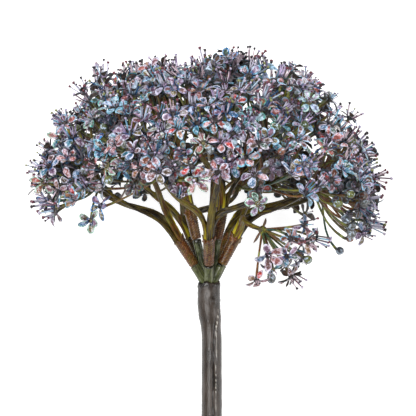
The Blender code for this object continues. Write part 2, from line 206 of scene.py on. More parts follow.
@dataclass
class HeadPlan:
    """Where each prong, sleeve, branch, umbel and floret stands, by the CAD model's own rules."""

    rng: Random = field(default_factory=lambda: Random(14))
    outer_tier: Tier = Tier(
        1.4 * MM, 1.85 * MM, 8.5 * MM, ((0, 30), (72, 28), (144, 32), (216, 31), (288, 33))
    )
    inner_tier: Tier = Tier(0.9 * MM, 1.45 * MM, 18 * MM, ((40, 14), (165, 14), (290, 14)))
    branches_per_spray: int = 3
    umbels_on_dome: int = 23
    florets_on_dome: int = 368
    ray_length: float = 25 * MM
    floret_radius: float = 4.3 * MM
    floret_sizes: Pair = (0.9, 1.03)
    bud_radius: float = 2.1 * MM
    bud_share: float = 0.07
    tuft_height: float = 4.0 * MM
    head_profile: Pairs = (
        (0, 88.5), (27, 92.5), (40, 87.5), (50, 84), (60, 82), (70, 74), (80, 64), (95, 52),
    )
    rim_front: float = 56
    rim_left_drop: float = 13
    rim_right_drop: float = 22
    rim_back_drop: float = 4
    hub_share: float = 0.88
    hub_lift: float = 80 * MM
    hub_lift_from: float = 0.76
    doming: float = 4.0 * MM
    doming_reach: float = 20 * MM
    clustering: float = 0.92
    depth_jitter: Pair = (-5.0 * MM, 2.0 * MM)
    facing_jitter: float = 0.28
    hub_spiral_start: float = radians(20)
    floret_spiral_start: float = radians(75)
    hanging_hub: Triple = (21.0 * MM, 21.5 * MM, 34.0 * MM)
    hanging_axis: Triple = (0.60, -0.60, 0.42)
    hanging_arrival: Triple = (0.75, -0.25, 0.45)
    hanging_florets: int = 14
    hanging_ray: float = 21 * MM
    hanging_ray_sizes: Pair = (0.9, 1.08)
    hanging_spread: float = radians(47)
    stray_florets: Triples = (
        (-11.5, 34.5, 62.0), (-5.5, 41.0, 70.0), (19.0, 31.5, 64.0), (-46.5, 25.0, 22.0),
        (-61.0, 28.5, 14.0),
    )
    windows: tuple[Window, ...] = (
        Window(44 * MM, 62.2 * MM, 10 * MM, 37 * MM, buds_in_front=True),
        Window(-67 * MM, -43 * MM, 24 * MM, 36 * MM, buds_in_front=False),
    )
    stem_length: float = 80 * MM
    stem_radius: float = 4.1 * MM
    rest_give: float = radians(1.6)

    def head_radius(self, polar: float) -> float:
        """Distance of the florets from the stem's top at an angle from the stem's axis.

        Args:
            polar: the angle from the stem's axis, in radians.

        Returns:
            The distance, straight between the profile's points.
        """
        angle = degrees(polar)
        for (low, near), (high, far) in zip(self.head_profile, self.head_profile[1:]):
            if angle <= high:
                share = (angle - low) / (high - low)
                return (near + (far - near) * share) * MM
        return self.head_profile[-1][1] * MM

    def golden_spread(self, count: int, start: float, share: float = 1.0) -> list[Pair]:
        """Directions spread evenly over the canopy on a golden-angle spiral.

        Args:
            count: how many directions.
            start: azimuth of the first.
            share: how much of the canopy's reach they cover.

        Returns:
            The (polar angle, azimuth) of each.
        """
        found = []
        for i in range(count):
            azimuth = start + i * GOLDEN_ANGLE
            side_drop = self.rim_right_drop if sin(azimuth) > 0 else self.rim_left_drop
            side = sin(azimuth) ** 2
            back = max(0.0, -cos(azimuth))
            reach = self.rim_front + side_drop * side + self.rim_back_drop * back
            cap = 1 - cos(radians(reach) * share)
            found.append((acos(1 - cap * (i + 0.5) / count), azimuth))
        return found

    def jittered(self, direction: Vector) -> Vector:
        """The direction, tipped a little at random."""
        return (direction + anywhere(self.rng) * self.facing_jitter).normalized()

    def size_of_next(self) -> float:
        """The radius of the next floret or bud.

        Returns:
            The radius.
        """
        if self.rng.random() < self.bud_share:
            return self.bud_radius
        return self.floret_radius * self.rng.uniform(*self.floret_sizes)

    def dome_umbels(self) -> list[Umbel]:
        """The umbels of the canopy. Each floret belongs to the umbel whose axis is nearest.

        Returns:
            The umbels with their florets.
        """
        umbels = []
        spread = self.golden_spread(self.umbels_on_dome, self.hub_spiral_start, self.hub_share)
        for polar, azimuth in spread:
            axis = outward(polar, azimuth)
            lift = self.hub_lift * max(0.0, sin(polar) - self.hub_lift_from)
            hub = axis * (self.head_radius(polar) - self.ray_length) + Vector((0, lift, 0))
            umbels.append(Umbel(hub, axis, axis))
        for polar, azimuth in self.golden_spread(self.florets_on_dome, self.floret_spiral_start):
            direction = outward(polar, azimuth)
            umbel = max(umbels, key=lambda u: u.axis.dot(direction))
            direction = umbel.axis.lerp(direction, self.clustering).normalized()
            distance = self.head_radius(polar)
            off_axis = distance * umbel.axis.angle(direction)
            distance -= self.doming * (off_axis / self.doming_reach) ** 2
            distance += self.rng.uniform(*self.depth_jitter)
            centre = direction * distance
            along_ray = (centre - umbel.hub).normalized()
            facing = self.jittered((along_ray + direction).normalized())
            umbel.florets.append(Floret(centre, facing, self.size_of_next()))
        for umbel in umbels:
            umbel.florets = self.opened(umbel.florets)
        return umbels

    def opened(self, florets: list[Floret]) -> list[Floret]:
        """Leaves out the far florets of each window. In one window the near ones are buds.

        Args:
            florets: the florets of one umbel.

        Returns:
            Those that stay.
        """
        kept = []
        for floret in florets:
            window = next((w for w in self.windows if w.frames(floret.centre)), None)
            if window and floret.centre.z < 0:
                continue
            if window and window.buds_in_front:
                floret = Floret(floret.centre, floret.facing, self.bud_radius)
            kept.append(floret)
        return kept

    def hanging_umbel(self) -> Umbel:
        """The umbel below the canopy, its florets on a spiral round its own axis.

        Returns:
            The umbel with its florets.
        """
        hub = Vector(self.hanging_hub)
        axis = Vector(self.hanging_axis).normalized()
        umbel = Umbel(hub, axis, Vector(self.hanging_arrival).normalized())
        side = axis.cross(Vector((0, 0, 1))).normalized()
        over = axis.cross(side)
        for i in range(self.hanging_florets):
            turn = i * GOLDEN_ANGLE
            spread = self.hanging_spread * sqrt((i + 0.5) / self.hanging_florets)
            off = side * cos(turn) + over * sin(turn)
            direction = axis * cos(spread) + off * sin(spread)
            centre = hub + direction * self.hanging_ray * self.rng.uniform(*self.hanging_ray_sizes)
            facing = self.jittered(direction)
            umbel.florets.append(Floret(centre, facing, self.size_of_next()))
        return umbel

    def add_strays(self, umbels: list[Umbel]) -> None:
        """Hangs each stray floret on the umbel whose hub is nearest.

        Args:
            umbels: the umbels that may carry one.
        """
        for place in self.stray_florets:
            centre = Vector(place) * MM
            umbel = min(umbels, key=lambda u: (u.hub - centre).length)
            facing = self.jittered((centre - umbel.hub).normalized())
            umbel.florets.append(Floret(centre, facing, self.floret_radius))

    def sprays_of(self, umbels: list[Umbel], tier: Tier) -> list[Spray]:
        """The tier's sprays, each with the umbels of its own sector.

        Args:
            umbels: the umbels that the tier carries.
            tier: the ring of prongs.

        Returns:
            One spray for each prong.
        """
        first = radians(tier.stands[0][0]) - pi / len(tier.stands)
        in_order = sorted(umbels, key=lambda u: (atan2(u.hub.x, u.hub.z) - first) % FULL_TURN)
        made = []
        for k, (azimuth, lean) in enumerate(tier.stands):
            own = in_order[k * self.branches_per_spray : (k + 1) * self.branches_per_spray]
            foot = outward(pi / 2, radians(azimuth)) * tier.foot
            direction = outward(radians(lean), radians(azimuth))
            made.append(Spray(foot, direction, tier.prong_radius, tier.prong_length, own))
        return made

    def rest_tilt(self, florets: list[Floret]) -> float:
        """Angle between the stem and the ground as the head lies on it.

        Args:
            florets: all florets of the head.

        Returns:
            The angle, in radians.
        """
        steepest = 0.0
        for floret in florets:
            depth = -floret.centre.z - self.stem_radius
            along = floret.centre.y + self.stem_length
            steepest = max(steepest, atan2(depth, along))
        return steepest - self.rest_give

    def press_down(self, florets: list[Floret], tilt: float) -> None:
        """Lifts each floret that would reach into the ground until it only touches it.

        Args:
            florets: all florets of the head.
            tilt: the angle between the stem and the ground.
        """
        up = Vector((0, sin(tilt), cos(tilt)))
        drop = self.stem_length * sin(tilt) + self.stem_radius * cos(tilt)
        for floret in florets:
            lean = floret.facing.dot(up)
            by_petals = floret.radius * sqrt(max(0.0, 1 - lean * lean))
            by_tuft = -self.tuft_height * floret.radius / self.floret_radius * lean
            height = floret.centre.dot(up) + drop - max(by_petals, by_tuft)
            if height < 0:
                floret.centre -= up * height

    def lay_out(self) -> tuple[list[Spray], float]:
        """Works out the whole head.

        Returns:
            Every spray, and the angle at which the head lies on the ground.
        """
        umbels = self.dome_umbels()
        by_height = sorted(umbels, key=lambda u: u.axis.angle(Vector((0, 1, 0))))
        inner_count = self.branches_per_spray * len(self.inner_tier.stands)
        outer = by_height[inner_count:] + [self.hanging_umbel()]
        self.add_strays(outer)
        sprays = self.sprays_of(outer, self.outer_tier)
        sprays += self.sprays_of(by_height[:inner_count], self.inner_tier)
        florets = [f for spray in sprays for umbel in spray.umbels for f in umbel.florets]
        tilt = self.rest_tilt(florets)
        self.press_down(florets, tilt)
        return sprays, tilt


@dataclass
class LyingPose:
    """The turn and shift from the head's own axes to where the CAD nodes lie."""

    tilt: float
    stem_length: float
    stem_radius: float

    @property
    def matrix(self) -> Matrix:
        """The matrix that lays a mesh down, found from the CAD stem's box.

        Returns:
            The matrix.
        """
        low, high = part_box("main_stem")
        sine, cosine = sin(self.tilt), cos(self.tilt)
        shift = Vector(
            (
                (low.x + high.x) / 2,
                low.y + self.stem_length * cosine + self.stem_radius * sine,
                low.z + self.stem_length * sine + self.stem_radius * cosine,
            )
        )
        return Matrix.Translation(shift) @ Matrix.Rotation(self.tilt, 4, "X")


class Slot(Enum):
    """The record's material slots."""

    STEM = "stem"
    PRONG = "prong"
    SLEEVE = "sleeve"
    BRANCH = "branch"
    FLORET = "floret"


class Graph:
    """Adds and links the nodes of one tree, in a shader or in geometry nodes."""

    def __init__(self, tree: bpy.types.NodeTree) -> None:
        """Takes the tree that the nodes go into."""
        self.tree = tree

    @staticmethod
    def pick(sockets: bpy.types.bpy_prop_collection, key: str | int) -> Socket:
        """The socket with that number, or the first live one with that name."""
        live = (s for s in sockets if s.name == key and not s.is_unavailable)
        return sockets[key] if isinstance(key, int) else next(live)

    def node(
        self, kind: str, inputs: dict[str | int, object] | None = None, **settings: object
    ) -> bpy.types.Node:
        """Adds a node.

        Args:
            kind: the node's type.
            inputs: for each input, the socket that feeds it or its own value.
            settings: the node's other properties.

        Returns:
            The node.
        """
        made = self.tree.nodes.new(kind)
        for name, value in settings.items():
            setattr(made, name, value)
        for key, value in (inputs or {}).items():
            socket = self.pick(made.inputs, key)
            if isinstance(value, Socket):
                self.tree.links.new(value, socket)
            else:
                socket.default_value = value
        return made

    def math(self, operation: str, *values: object) -> Socket:
        """A math node's result, from sockets or numbers."""
        return self.node("ShaderNodeMath", dict(enumerate(values)), operation=operation).outputs[0]

    def times(self, first: object, second: object) -> Socket:
        """Two sockets or numbers multiplied."""
        return self.math("MULTIPLY", first, second)

    def plus(self, first: object, second: object) -> Socket:
        """Two sockets or numbers added."""
        return self.math("ADD", first, second)

    def above(self, value: Socket, limit: float) -> Socket:
        """1 where the value is above the limit, and 0 elsewhere."""
        return self.math("GREATER_THAN", value, limit)

    def span(self, value: Socket, low: object, high: object) -> Socket:
        """Rises smoothly from 0 where the value is low to 1 where it is high."""
        ends = {"Value": value, "From Min": low, "From Max": high}
        return self.node("ShaderNodeMapRange", ends, interpolation_type="SMOOTHSTEP").outputs[0]

    def rescaled(self, value: Socket, start: Pair, end: Pair) -> Socket:
        """Carries a value evenly from one range over to another, and keeps it inside."""
        ends = {"From Min": start[0], "From Max": start[1], "To Min": end[0], "To Max": end[1]}
        return self.node("ShaderNodeMapRange", {"Value": value, **ends}).outputs[0]


class SkinGraph(Graph):
    """The nodes of one painted-plastic material, with its shader and its patterns."""

    def __init__(self, name: str, gloss: float, sheen: float = 0.5) -> None:
        """Starts a material.

        Args:
            name: the material's name.
            gloss: how rough the surface is where no pattern says otherwise.
            sheen: the strength of its mirror-like part.
        """
        self.material = bpy.data.materials.new(name)
        self.material.use_nodes = True
        super().__init__(self.material.node_tree)
        self.shader = self.tree.nodes["Principled BSDF"]
        self.shader.inputs["Roughness"].default_value = gloss
        self.shader.inputs["Specular IOR Level"].default_value = sheen

    def attribute(self, name: str) -> Socket:
        """A number that the mesh carries under that name."""
        return self.node("ShaderNodeAttribute", attribute_name=name).outputs["Fac"]

    def place(self) -> Socket:
        """Object coordinates."""
        return self.node("ShaderNodeTexCoord").outputs["Object"]

    def skin_map(self, stretch: Triple) -> Socket:
        """The piece's own map, once round and along in centimetres, stretched."""
        own = self.node("ShaderNodeUVMap", uv_map="skin").outputs[0]
        return self.node("ShaderNodeMapping", {"Vector": own, "Scale": stretch}).outputs[0]

    def speckle(self, vector: Socket, scale: float, detail: float) -> Socket:
        """Cloudy noise from 0 to 1."""
        made = self.node("ShaderNodeTexNoise", {"Vector": vector, "Scale": scale, "Detail": detail})
        return made.outputs["Fac"]

    def patchy(self, vector: Socket, scale: float, detail: float) -> Socket:
        """Cloudy noise with its middle stretched, so that it often reaches 0 and 1."""
        return self.span(self.speckle(vector, scale, detail), 0.34, 0.66)

    def ramp(self, value: Socket, stops: Stops, stepped: bool = False) -> Socket:
        """A colour for each value.

        Args:
            value: the number that picks the colour.
            stops: the places and their colours.
            stepped: True keeps each colour up to the next place.

        Returns:
            The colour.
        """
        made = self.node("ShaderNodeValToRGB", {"Fac": value})
        line = made.color_ramp
        line.interpolation = "CONSTANT" if stepped else "LINEAR"
        while len(line.elements) < len(stops):
            line.elements.new(0.5)
        for element, (place, *screen) in zip(line.elements, stops):
            element.position = place
            element.color = (*shade(*screen), 1)
        return made.outputs["Color"]

    def mix(self, share: object, low: object, high: object) -> Socket:
        """Goes from one colour to another.

        Args:
            share: how far, from 0 to 1.
            low: the colour at 0.
            high: the colour at 1.

        Returns:
            The colour between them.
        """
        made = self.node("ShaderNodeMix", {0: share}, data_type="RGBA")
        for number, value in ((6, low), (7, high)):
            if isinstance(value, Socket):
                self.tree.links.new(value, made.inputs[number])
            else:
                made.inputs[number].default_value = (*value, 1)
        return made.outputs[2]

    def tinted(self, colour: Socket, share: Socket, low: float, high: float) -> Socket:
        """The colour, made darker or lighter from low to high by the share."""
        level = self.rescaled(share, (0, 1), (low, high))
        return self.node("ShaderNodeHueSaturation", {"Value": level, "Color": colour}).outputs[0]

    def finish(self, colour: Socket, gloss: Socket | None, relief: Socket, depth: float) -> None:
        """Feeds the shader.

        Args:
            colour: the base colour.
            gloss: the roughness, or None for the one set at the start.
            relief: the height that the bump follows.
            depth: how far the bump reaches, in metres.
        """
        self.tree.links.new(colour, self.shader.inputs["Base Color"])
        if gloss is not None:
            self.tree.links.new(gloss, self.shader.inputs["Roughness"])
        bump = self.node("ShaderNodeBump", {"Distance": depth, "Height": relief})
        self.tree.links.new(bump.outputs[0], self.shader.inputs["Normal"])


@dataclass(frozen=True)
class PetalPaint:
    """Dry-brushed petals: a patch in the middle of each, a crisp pale rim, and a dark back."""

    dusky: Stops = (
        (0.0, 128, 92, 126), (0.12, 102, 78, 58), (0.25, 152, 108, 138), (0.36, 126, 80, 78),
        (0.46, 160, 132, 164), (0.56, 72, 114, 156), (0.66, 174, 106, 102),
        (0.75, 60, 132, 158), (0.82, 128, 112, 66), (0.93, 72, 102, 86),
    )
    warm: Stops = (
        (0.0, 186, 98, 88), (0.16, 136, 76, 50), (0.3, 194, 124, 118), (0.46, 214, 56, 46),
        (0.57, 176, 118, 80), (0.68, 172, 120, 130), (0.8, 178, 138, 98), (0.9, 142, 60, 64),
    )
    pale: Stops = (
        (0.0, 176, 208, 222), (0.3, 204, 196, 222), (0.5, 146, 190, 214), (0.7, 208, 214, 196),
        (0.85, 170, 184, 220),
    )
    rims: Stops = (
        (0.0, 220, 220, 240), (0.18, 160, 206, 236), (0.36, 228, 216, 234),
        (0.5, 118, 198, 226), (0.66, 176, 218, 196), (0.76, 166, 156, 192),
        (0.84, 44, 138, 208), (0.93, 84, 178, 164),
    )
    throat: Triple = shade(16, 98, 158)
    dab: Triple = shade(232, 236, 250)
    # Dark paint for random flecks, and painted shade at the foot of each petal.
    flecks_and_shade: Triple = shade(40, 33, 25)
    # Painted shade over the petals of inner florets, deep in the canopy.
    inner_shade: Triple = shade(36, 31, 16)
    back: Stops = ((0.0, 42, 34, 30), (0.5, 74, 57, 48), (1.0, 98, 76, 66))
    back_rims: Stops = (
        (0.0, 98, 132, 164), (0.3, 42, 140, 160), (0.6, 96, 90, 96), (0.85, 160, 178, 200),
    )

    def patch(self, skin: SkinGraph, blotch: Socket) -> Socket:
        """The middle of a petal: dusky, or warm or pale where the floret's numbers say so.

        Args:
            skin: the material's nodes.
            blotch: the pattern that makes it lighter and darker.

        Returns:
            The colour.
        """
        tone = skin.attribute("tone")
        colour = skin.ramp(tone, self.dusky, stepped=True)
        for name, stops in (("warm", self.warm), ("pale", self.pale)):
            chosen = skin.above(skin.attribute(name), 0.5)
            colour = skin.mix(chosen, colour, skin.ramp(tone, stops, stepped=True))
        return skin.tinted(colour, blotch, 0.55, 1.3)

    def front(self, skin: SkinGraph, place: Socket, blotch: Socket) -> Socket:
        """The face of a petal: patch and rim, dabs, dark flecks, a wet throat and painted shade at its
        foot.

        Args:
            skin: the material's nodes.
            place: where the patterns are read.
            blotch: the pattern that makes it lighter and darker.

        Returns:
            The colour.
        """
        fine = skin.patchy(place, 2400, 2)
        rough = skin.times(skin.math("SUBTRACT", fine, 0.5), 0.4)
        inside = skin.span(skin.plus(skin.attribute("edge"), rough), 0.2, 0.5)
        gaps = skin.times(skin.span(skin.speckle(place, 420, 1), 0.52, 0.38), 0.75)
        rim = skin.ramp(skin.attribute("flower"), self.rims, stepped=True)
        rim = skin.tinted(rim, blotch, 0.7, 1.2)
        colour = skin.mix(skin.math("MAXIMUM", inside, gaps), rim, self.patch(skin, blotch))
        both = skin.plus(fine, blotch)
        colour = skin.mix(skin.times(skin.span(both, 1.25, 1.55), 0.7), colour, self.dab)
        # Dark flecks where the two noises are low.
        colour = skin.mix(skin.times(skin.span(both, 0.6, 0.25), 0.65), colour, self.flecks_and_shade)
        along = skin.attribute("along")
        wet = skin.times(skin.span(along, 0.42, 0.05), skin.attribute("wet"))
        colour = skin.mix(wet, colour, self.throat)
        # Painted shade at the petal's foot, round the floret's centre.
        return skin.mix(skin.span(along, 0.2, 0.0), colour, self.flecks_and_shade)

    def dress(self) -> Material:
        """Builds the material.

        Returns:
            The petals' material.
        """
        skin = SkinGraph("petal_paint", 0.42, 0.45)
        place = skin.place()
        blotch = skin.patchy(place, 700, 3)
        rear = skin.mix(
            skin.span(skin.attribute("edge"), 0.06, 0.3),
            skin.ramp(skin.attribute("flower"), self.back_rims),
            skin.ramp(blotch, self.back),
        )
        colour = skin.mix(skin.attribute("rear"), self.front(skin, place, blotch), rear)
        # Painted shade over the inner florets.
        colour = skin.mix(skin.times(skin.attribute("inner"), 0.68), colour, self.inner_shade)
        skin.finish(colour, None, blotch, 0.12 * MM)
        return skin.material


@dataclass(frozen=True)
class StamenPaint:
    """Pale lavender to dark stalks with wine-red, black, grey or olive heads."""

    stalks: Stops = (
        (0.0, 232, 228, 246), (0.22, 196, 176, 214), (0.38, 138, 194, 222), (0.5, 84, 74, 80),
        (0.6, 232, 208, 218), (0.76, 146, 112, 132), (0.84, 200, 220, 240), (0.93, 36, 84, 128),
    )
    heads: Stops = (
        (0.0, 112, 58, 76), (0.12, 52, 42, 50), (0.36, 178, 168, 198), (0.52, 118, 56, 66),
        (0.64, 44, 40, 48), (0.76, 204, 192, 214), (0.9, 132, 136, 84),
    )
    # Dark teal at the stalks' feet, and painted shade over the stamens of inner florets.
    foot: Triple = shade(22, 46, 70)

    def dress(self) -> Material:
        """Builds the material.

        Returns:
            The stamens' material.
        """
        skin = SkinGraph("stamen_paint", 0.4)
        fine = skin.speckle(skin.place(), 1800, 2)
        own = skin.times(skin.attribute("tone"), 0.34)
        pick = skin.math("FRACT", skin.plus(skin.attribute("flower"), own))
        stalk = skin.tinted(skin.ramp(pick, self.stalks, stepped=True), fine, 0.5, 1.5)
        along = skin.attribute("along")
        stalk = skin.mix(skin.span(along, 0.35, 0.0), stalk, self.foot)
        head = skin.tinted(skin.ramp(pick, self.heads, stepped=True), fine, 0.6, 1.5)
        colour = skin.mix(skin.above(along, 0.84), stalk, head)
        # Painted shade over the stamens of inner florets.
        colour = skin.mix(skin.times(skin.attribute("inner"), 0.6), colour, self.foot)
        skin.finish(colour, None, fine, 0.05 * MM)
        return skin.material


@dataclass(frozen=True)
class ButtonPaint:
    """The round centre of a floret: a dark ring round a grey, brown or pale button."""

    buttons: Stops = (
        (0.0, 70, 62, 60), (0.4, 44, 36, 34), (0.66, 130, 122, 78), (0.76, 168, 146, 176),
        (0.86, 88, 82, 90),
    )
    groove: Triple = shade(26, 22, 26)

    def dress(self) -> Material:
        """Builds the material.

        Returns:
            The buttons' material.
        """
        skin = SkinGraph("button_paint", 0.38)
        fine = skin.speckle(skin.place(), 2200, 2)
        button = skin.ramp(skin.attribute("flower"), self.buttons, stepped=True)
        button = skin.tinted(button, fine, 0.6, 1.4)
        colour = skin.mix(skin.span(skin.attribute("along"), 0.35, 0.55), self.groove, button)
        skin.finish(colour, None, fine, 0.06 * MM)
        return skin.material


@dataclass(frozen=True)
class BudPaint:
    """Closed buds: pale green to lavender, with darker seams."""

    buds: Stops = (
        (0.0, 112, 118, 50), (0.3, 128, 128, 128), (0.5, 84, 96, 54), (0.7, 152, 100, 80),
        (0.85, 92, 98, 112),
    )
    seam: Triple = shade(54, 66, 58)
    dab: Triple = shade(190, 208, 226)

    def dress(self) -> Material:
        """Builds the material.

        Returns:
            The buds' material.
        """
        skin = SkinGraph("bud_paint", 0.36)
        cloud = skin.patchy(skin.place(), 900, 3)
        colour = skin.ramp(skin.attribute("flower"), self.buds, stepped=True)
        colour = skin.tinted(colour, cloud, 0.5, 1.4)
        seam = skin.times(skin.span(skin.attribute("edge"), 0.6, 0.1), 0.8)
        colour = skin.mix(seam, colour, self.seam)
        colour = skin.mix(skin.span(cloud, 0.7, 0.95), colour, self.dab)
        skin.finish(colour, None, cloud, 0.1 * MM)
        return skin.material


@dataclass(frozen=True)
class RayPaint:
    """Thin rays in olive, dark brown, teal and dull red, with lime parts here and there."""

    rays: Stops = (
        (0.0, 112, 98, 36), (0.18, 60, 48, 26), (0.34, 134, 82, 42), (0.48, 88, 96, 36),
        (0.62, 44, 82, 72), (0.78, 142, 138, 46), (0.92, 98, 50, 36),
    )
    lime: Triple = shade(166, 172, 72)
    calyx: Triple = shade(52, 52, 42)
    # Painted glints: pale grey-green flecks.
    painted_glint: Triple = shade(160, 166, 140)

    def dress(self) -> Material:
        """Builds the material.

        Returns:
            The rays' material.
        """
        skin = SkinGraph("ray_paint", 0.4)
        place = skin.place()
        cloud = skin.speckle(place, 260, 3)
        fine = skin.speckle(place, 1500, 2)
        pick = skin.math("FRACT", skin.plus(skin.attribute("flower"), skin.times(cloud, 0.5)))
        colour = skin.ramp(pick, self.rays)
        colour = skin.mix(skin.times(skin.span(cloud, 0.56, 0.66), 0.7), colour, self.lime)
        colour = skin.mix(skin.span(skin.attribute("along"), 0.86, 0.96), colour, self.calyx)
        colour = skin.tinted(colour, fine, 0.55, 1.5)
        # Painted glints where the fine noise is high.
        colour = skin.mix(skin.times(skin.span(fine, 0.6, 0.72), 0.5), colour, self.painted_glint)
        skin.finish(colour, None, fine, 0.08 * MM)
        return skin.material


@dataclass(frozen=True)
class StreakedPaint:
    """Moulded plastic with paint streaks that run along the piece."""

    name: str
    body: Stops
    streak: Triple
    # Edge colour: yellow paint on branches, painted highlight on the stem's ridge and sleeve crests.
    edge: Triple
    gloss: Pair
    sheen: float = 0.5
    # Dark paint for low streaks and joints, and painted shade in the stem's groove.
    dark: Triple = shade(18, 14, 11)
    streaks: float = 0.5
    furrows: float = 0.6
    edges: float = 0.0
    edge_span: Pair = (0.25, 0.6)
    edge_from: Pair = (0.93, 1.0)
    # Strength of the painted highlights on the crests of a sleeve's ridges.
    rings: float = 0.0
    joint: float = 0.0
    joint_span: Pair = (0.13, 0.06)
    grain: float = 1.0
    pits: float = 800
    depth: float = 0.15 * MM

    def edge_paint_and_highlight(self, skin: SkinGraph, wide: Socket) -> Socket:
        """How much of the edge colour shows, on the stem a painted highlight. It comes and goes along
        the piece.

        Args:
            skin: the material's nodes.
            wide: the widest streaks.

        Returns:
            The share of the edge colour.
        """
        where = skin.times(skin.plus(skin.attribute("variety"), skin.attribute("foot")), 0.5)
        where = skin.plus(where, skin.times(wide, 0.3))
        edge = skin.span(skin.attribute("edge"), *self.edge_span)
        return skin.times(skin.times(edge, skin.span(where, *self.edge_from)), self.edges)

    def dress(self) -> Material:
        """Builds the material.

        Returns:
            The material, which reads the piece's own map and the numbers of its skin.
        """
        skin = SkinGraph(self.name, self.gloss[0], self.sheen)
        place = skin.place()
        cloud = skin.speckle(place, 220, 3)
        fine = skin.speckle(place, 1400, 3)
        streaks = skin.speckle(skin.skin_map((9, 0.8, 1)), 2.2, 4)
        wide = skin.speckle(skin.skin_map((3, 0.5, 1)), 1.6, 2)
        variety = skin.times(skin.math("SUBTRACT", skin.attribute("variety"), 0.9), 0.5)
        pick = skin.plus(skin.plus(skin.times(wide, 0.9), skin.times(cloud, 0.5)), variety)
        colour = skin.tinted(skin.ramp(pick, self.body), fine, 0.6, 1.4)
        colour = skin.mix(skin.times(skin.span(streaks, 0.54, 0.66), self.streaks), colour, self.streak)
        furrow = skin.times(skin.span(streaks, 0.49, 0.38), self.furrows)
        # Painted shade in the stem's groove, where its edge number is below 0.
        groove = skin.times(skin.span(skin.attribute("edge"), -0.2, -0.9), 0.75)
        colour = skin.mix(skin.math("MAXIMUM", furrow, groove), colour, self.dark)
        # Edge colour: yellow paint on the branches, a painted highlight along the stem's ridge.
        if self.edges:
            colour = skin.mix(self.edge_paint_and_highlight(skin, wide), colour, self.edge)
        if self.joint:
            band = skin.times(skin.span(skin.attribute("foot"), *self.joint_span), self.joint)
            colour = skin.mix(skin.times(band, skin.span(cloud, 0.68, 0.46)), colour, self.dark)
        # Painted highlights on the crests of the sleeves' ridges.
        if self.rings:
            wave = skin.math("SINE", skin.times(skin.attribute("ridge"), FULL_TURN))
            crest_highlight = skin.times(skin.span(wave, 0.35, 0.95), skin.span(fine, 0.42, 0.62))
            colour = skin.mix(skin.times(crest_highlight, self.rings), colour, self.edge)
        pits = skin.times(skin.speckle(place, self.pits, 2), 0.5)
        relief = skin.plus(skin.times(streaks, self.grain), pits)
        skin.finish(colour, skin.rescaled(cloud, (0.3, 0.7), self.gloss), relief, self.depth)
        return skin.material


class Finish(Enum):
    """Every finish of the head."""

    PETAL = PetalPaint()
    STAMEN = StamenPaint()
    BUTTON = ButtonPaint()
    BUD = BudPaint()
    RAY = RayPaint()
    # On the stem the edge colour is a painted highlight along the ridge, the dark colour painted shade
    # in the groove.
    STEM = StreakedPaint(
        name="stem_paint",
        body=((0.6, 42, 32, 24), (0.8, 60, 48, 39), (0.95, 76, 65, 57), (1.1, 52, 41, 32)),
        streak=shade(96, 84, 77), edge=shade(208, 202, 190), gloss=(0.16, 0.27), sheen=0.6,
        streaks=0.2, furrows=0.2, edges=0.9, edge_span=(0.4, 0.75), edge_from=(0.72, 0.8),
        joint=0.9, joint_span=(0.944, 0.962), grain=0.1, pits=2200, depth=0.36 * MM,
    )
    # The prongs' pale grey-green streaks are partly paint streaks and partly painted sheen.
    PRONG = StreakedPaint(
        name="prong_paint",
        body=((0.3, 44, 50, 20), (0.5, 78, 86, 42), (0.7, 98, 102, 62), (0.9, 70, 62, 34)),
        streak=shade(164, 168, 138), edge=shade(88, 104, 40), gloss=(0.16, 0.34), streaks=0.6,
        edges=0.4, joint=0.9,
    )
    # The sleeves' edge colour is a painted highlight on their ridge crests.
    SLEEVE = StreakedPaint(
        name="sleeve_paint",
        body=(
            (0.3, 50, 38, 10), (0.48, 92, 64, 18), (0.6, 116, 60, 20), (0.72, 82, 44, 26),
            (0.84, 106, 72, 20), (0.95, 80, 78, 16),
        ),
        streak=shade(104, 100, 38), edge=shade(190, 150, 92), gloss=(0.2, 0.4), streaks=0.55,
        rings=0.6, grain=0.6,
    )
    BRANCH = StreakedPaint(
        name="branch_paint",
        body=(
            (0.28, 44, 30, 6), (0.42, 94, 74, 8), (0.56, 124, 110, 18), (0.7, 110, 58, 14),
            (0.86, 90, 100, 20), (1.0, 56, 40, 12),
        ),
        streak=shade(158, 146, 54), edge=shade(214, 198, 36), gloss=(0.26, 0.46), sheen=0.35,
        streaks=0.55, furrows=0.85, edges=0.9,
    )


def set_numbers(mesh: Mesh, name: str, values: list[float], domain: str = "POINT") -> None:
    """Stores one number for each point of a mesh, or for each face if the domain is FACE."""
    mesh.attributes.new(name, "FLOAT", domain).data.foreach_set("value", values)


def meshed(name: str, bm: bmesh.types.BMesh) -> Mesh:
    """Turns a mesh under construction, which is used up, into a finished smooth one.

    Args:
        name: its name.
        bm: the mesh under construction.

    Returns:
        The finished mesh.
    """
    mesh = bpy.data.meshes.new(name)
    bm.to_mesh(mesh)
    bm.free()
    mesh.shade_smooth()
    return mesh


def linked(name: str, data: bpy.types.ID) -> Object:
    """Puts a new object with that data into the scene.

    Args:
        name: its name.
        data: its mesh, lamp or camera.

    Returns:
        The object.
    """
    made = bpy.data.objects.new(name, data)
    bpy.context.scene.collection.objects.link(made)
    return made


def joined(name: str, parts: list[Object]) -> Object:
    """Makes one object of several.

    Args:
        name: the new object's name.
        parts: objects that sit at the origin. They are used up.

    Returns:
        The one object.
    """
    first = parts[0]
    if len(parts) > 1:
        with bpy.context.temp_override(active_object=first, selected_editable_objects=parts):
            bpy.ops.object.join()
    first.name = name
    first.data.name = name
    return first


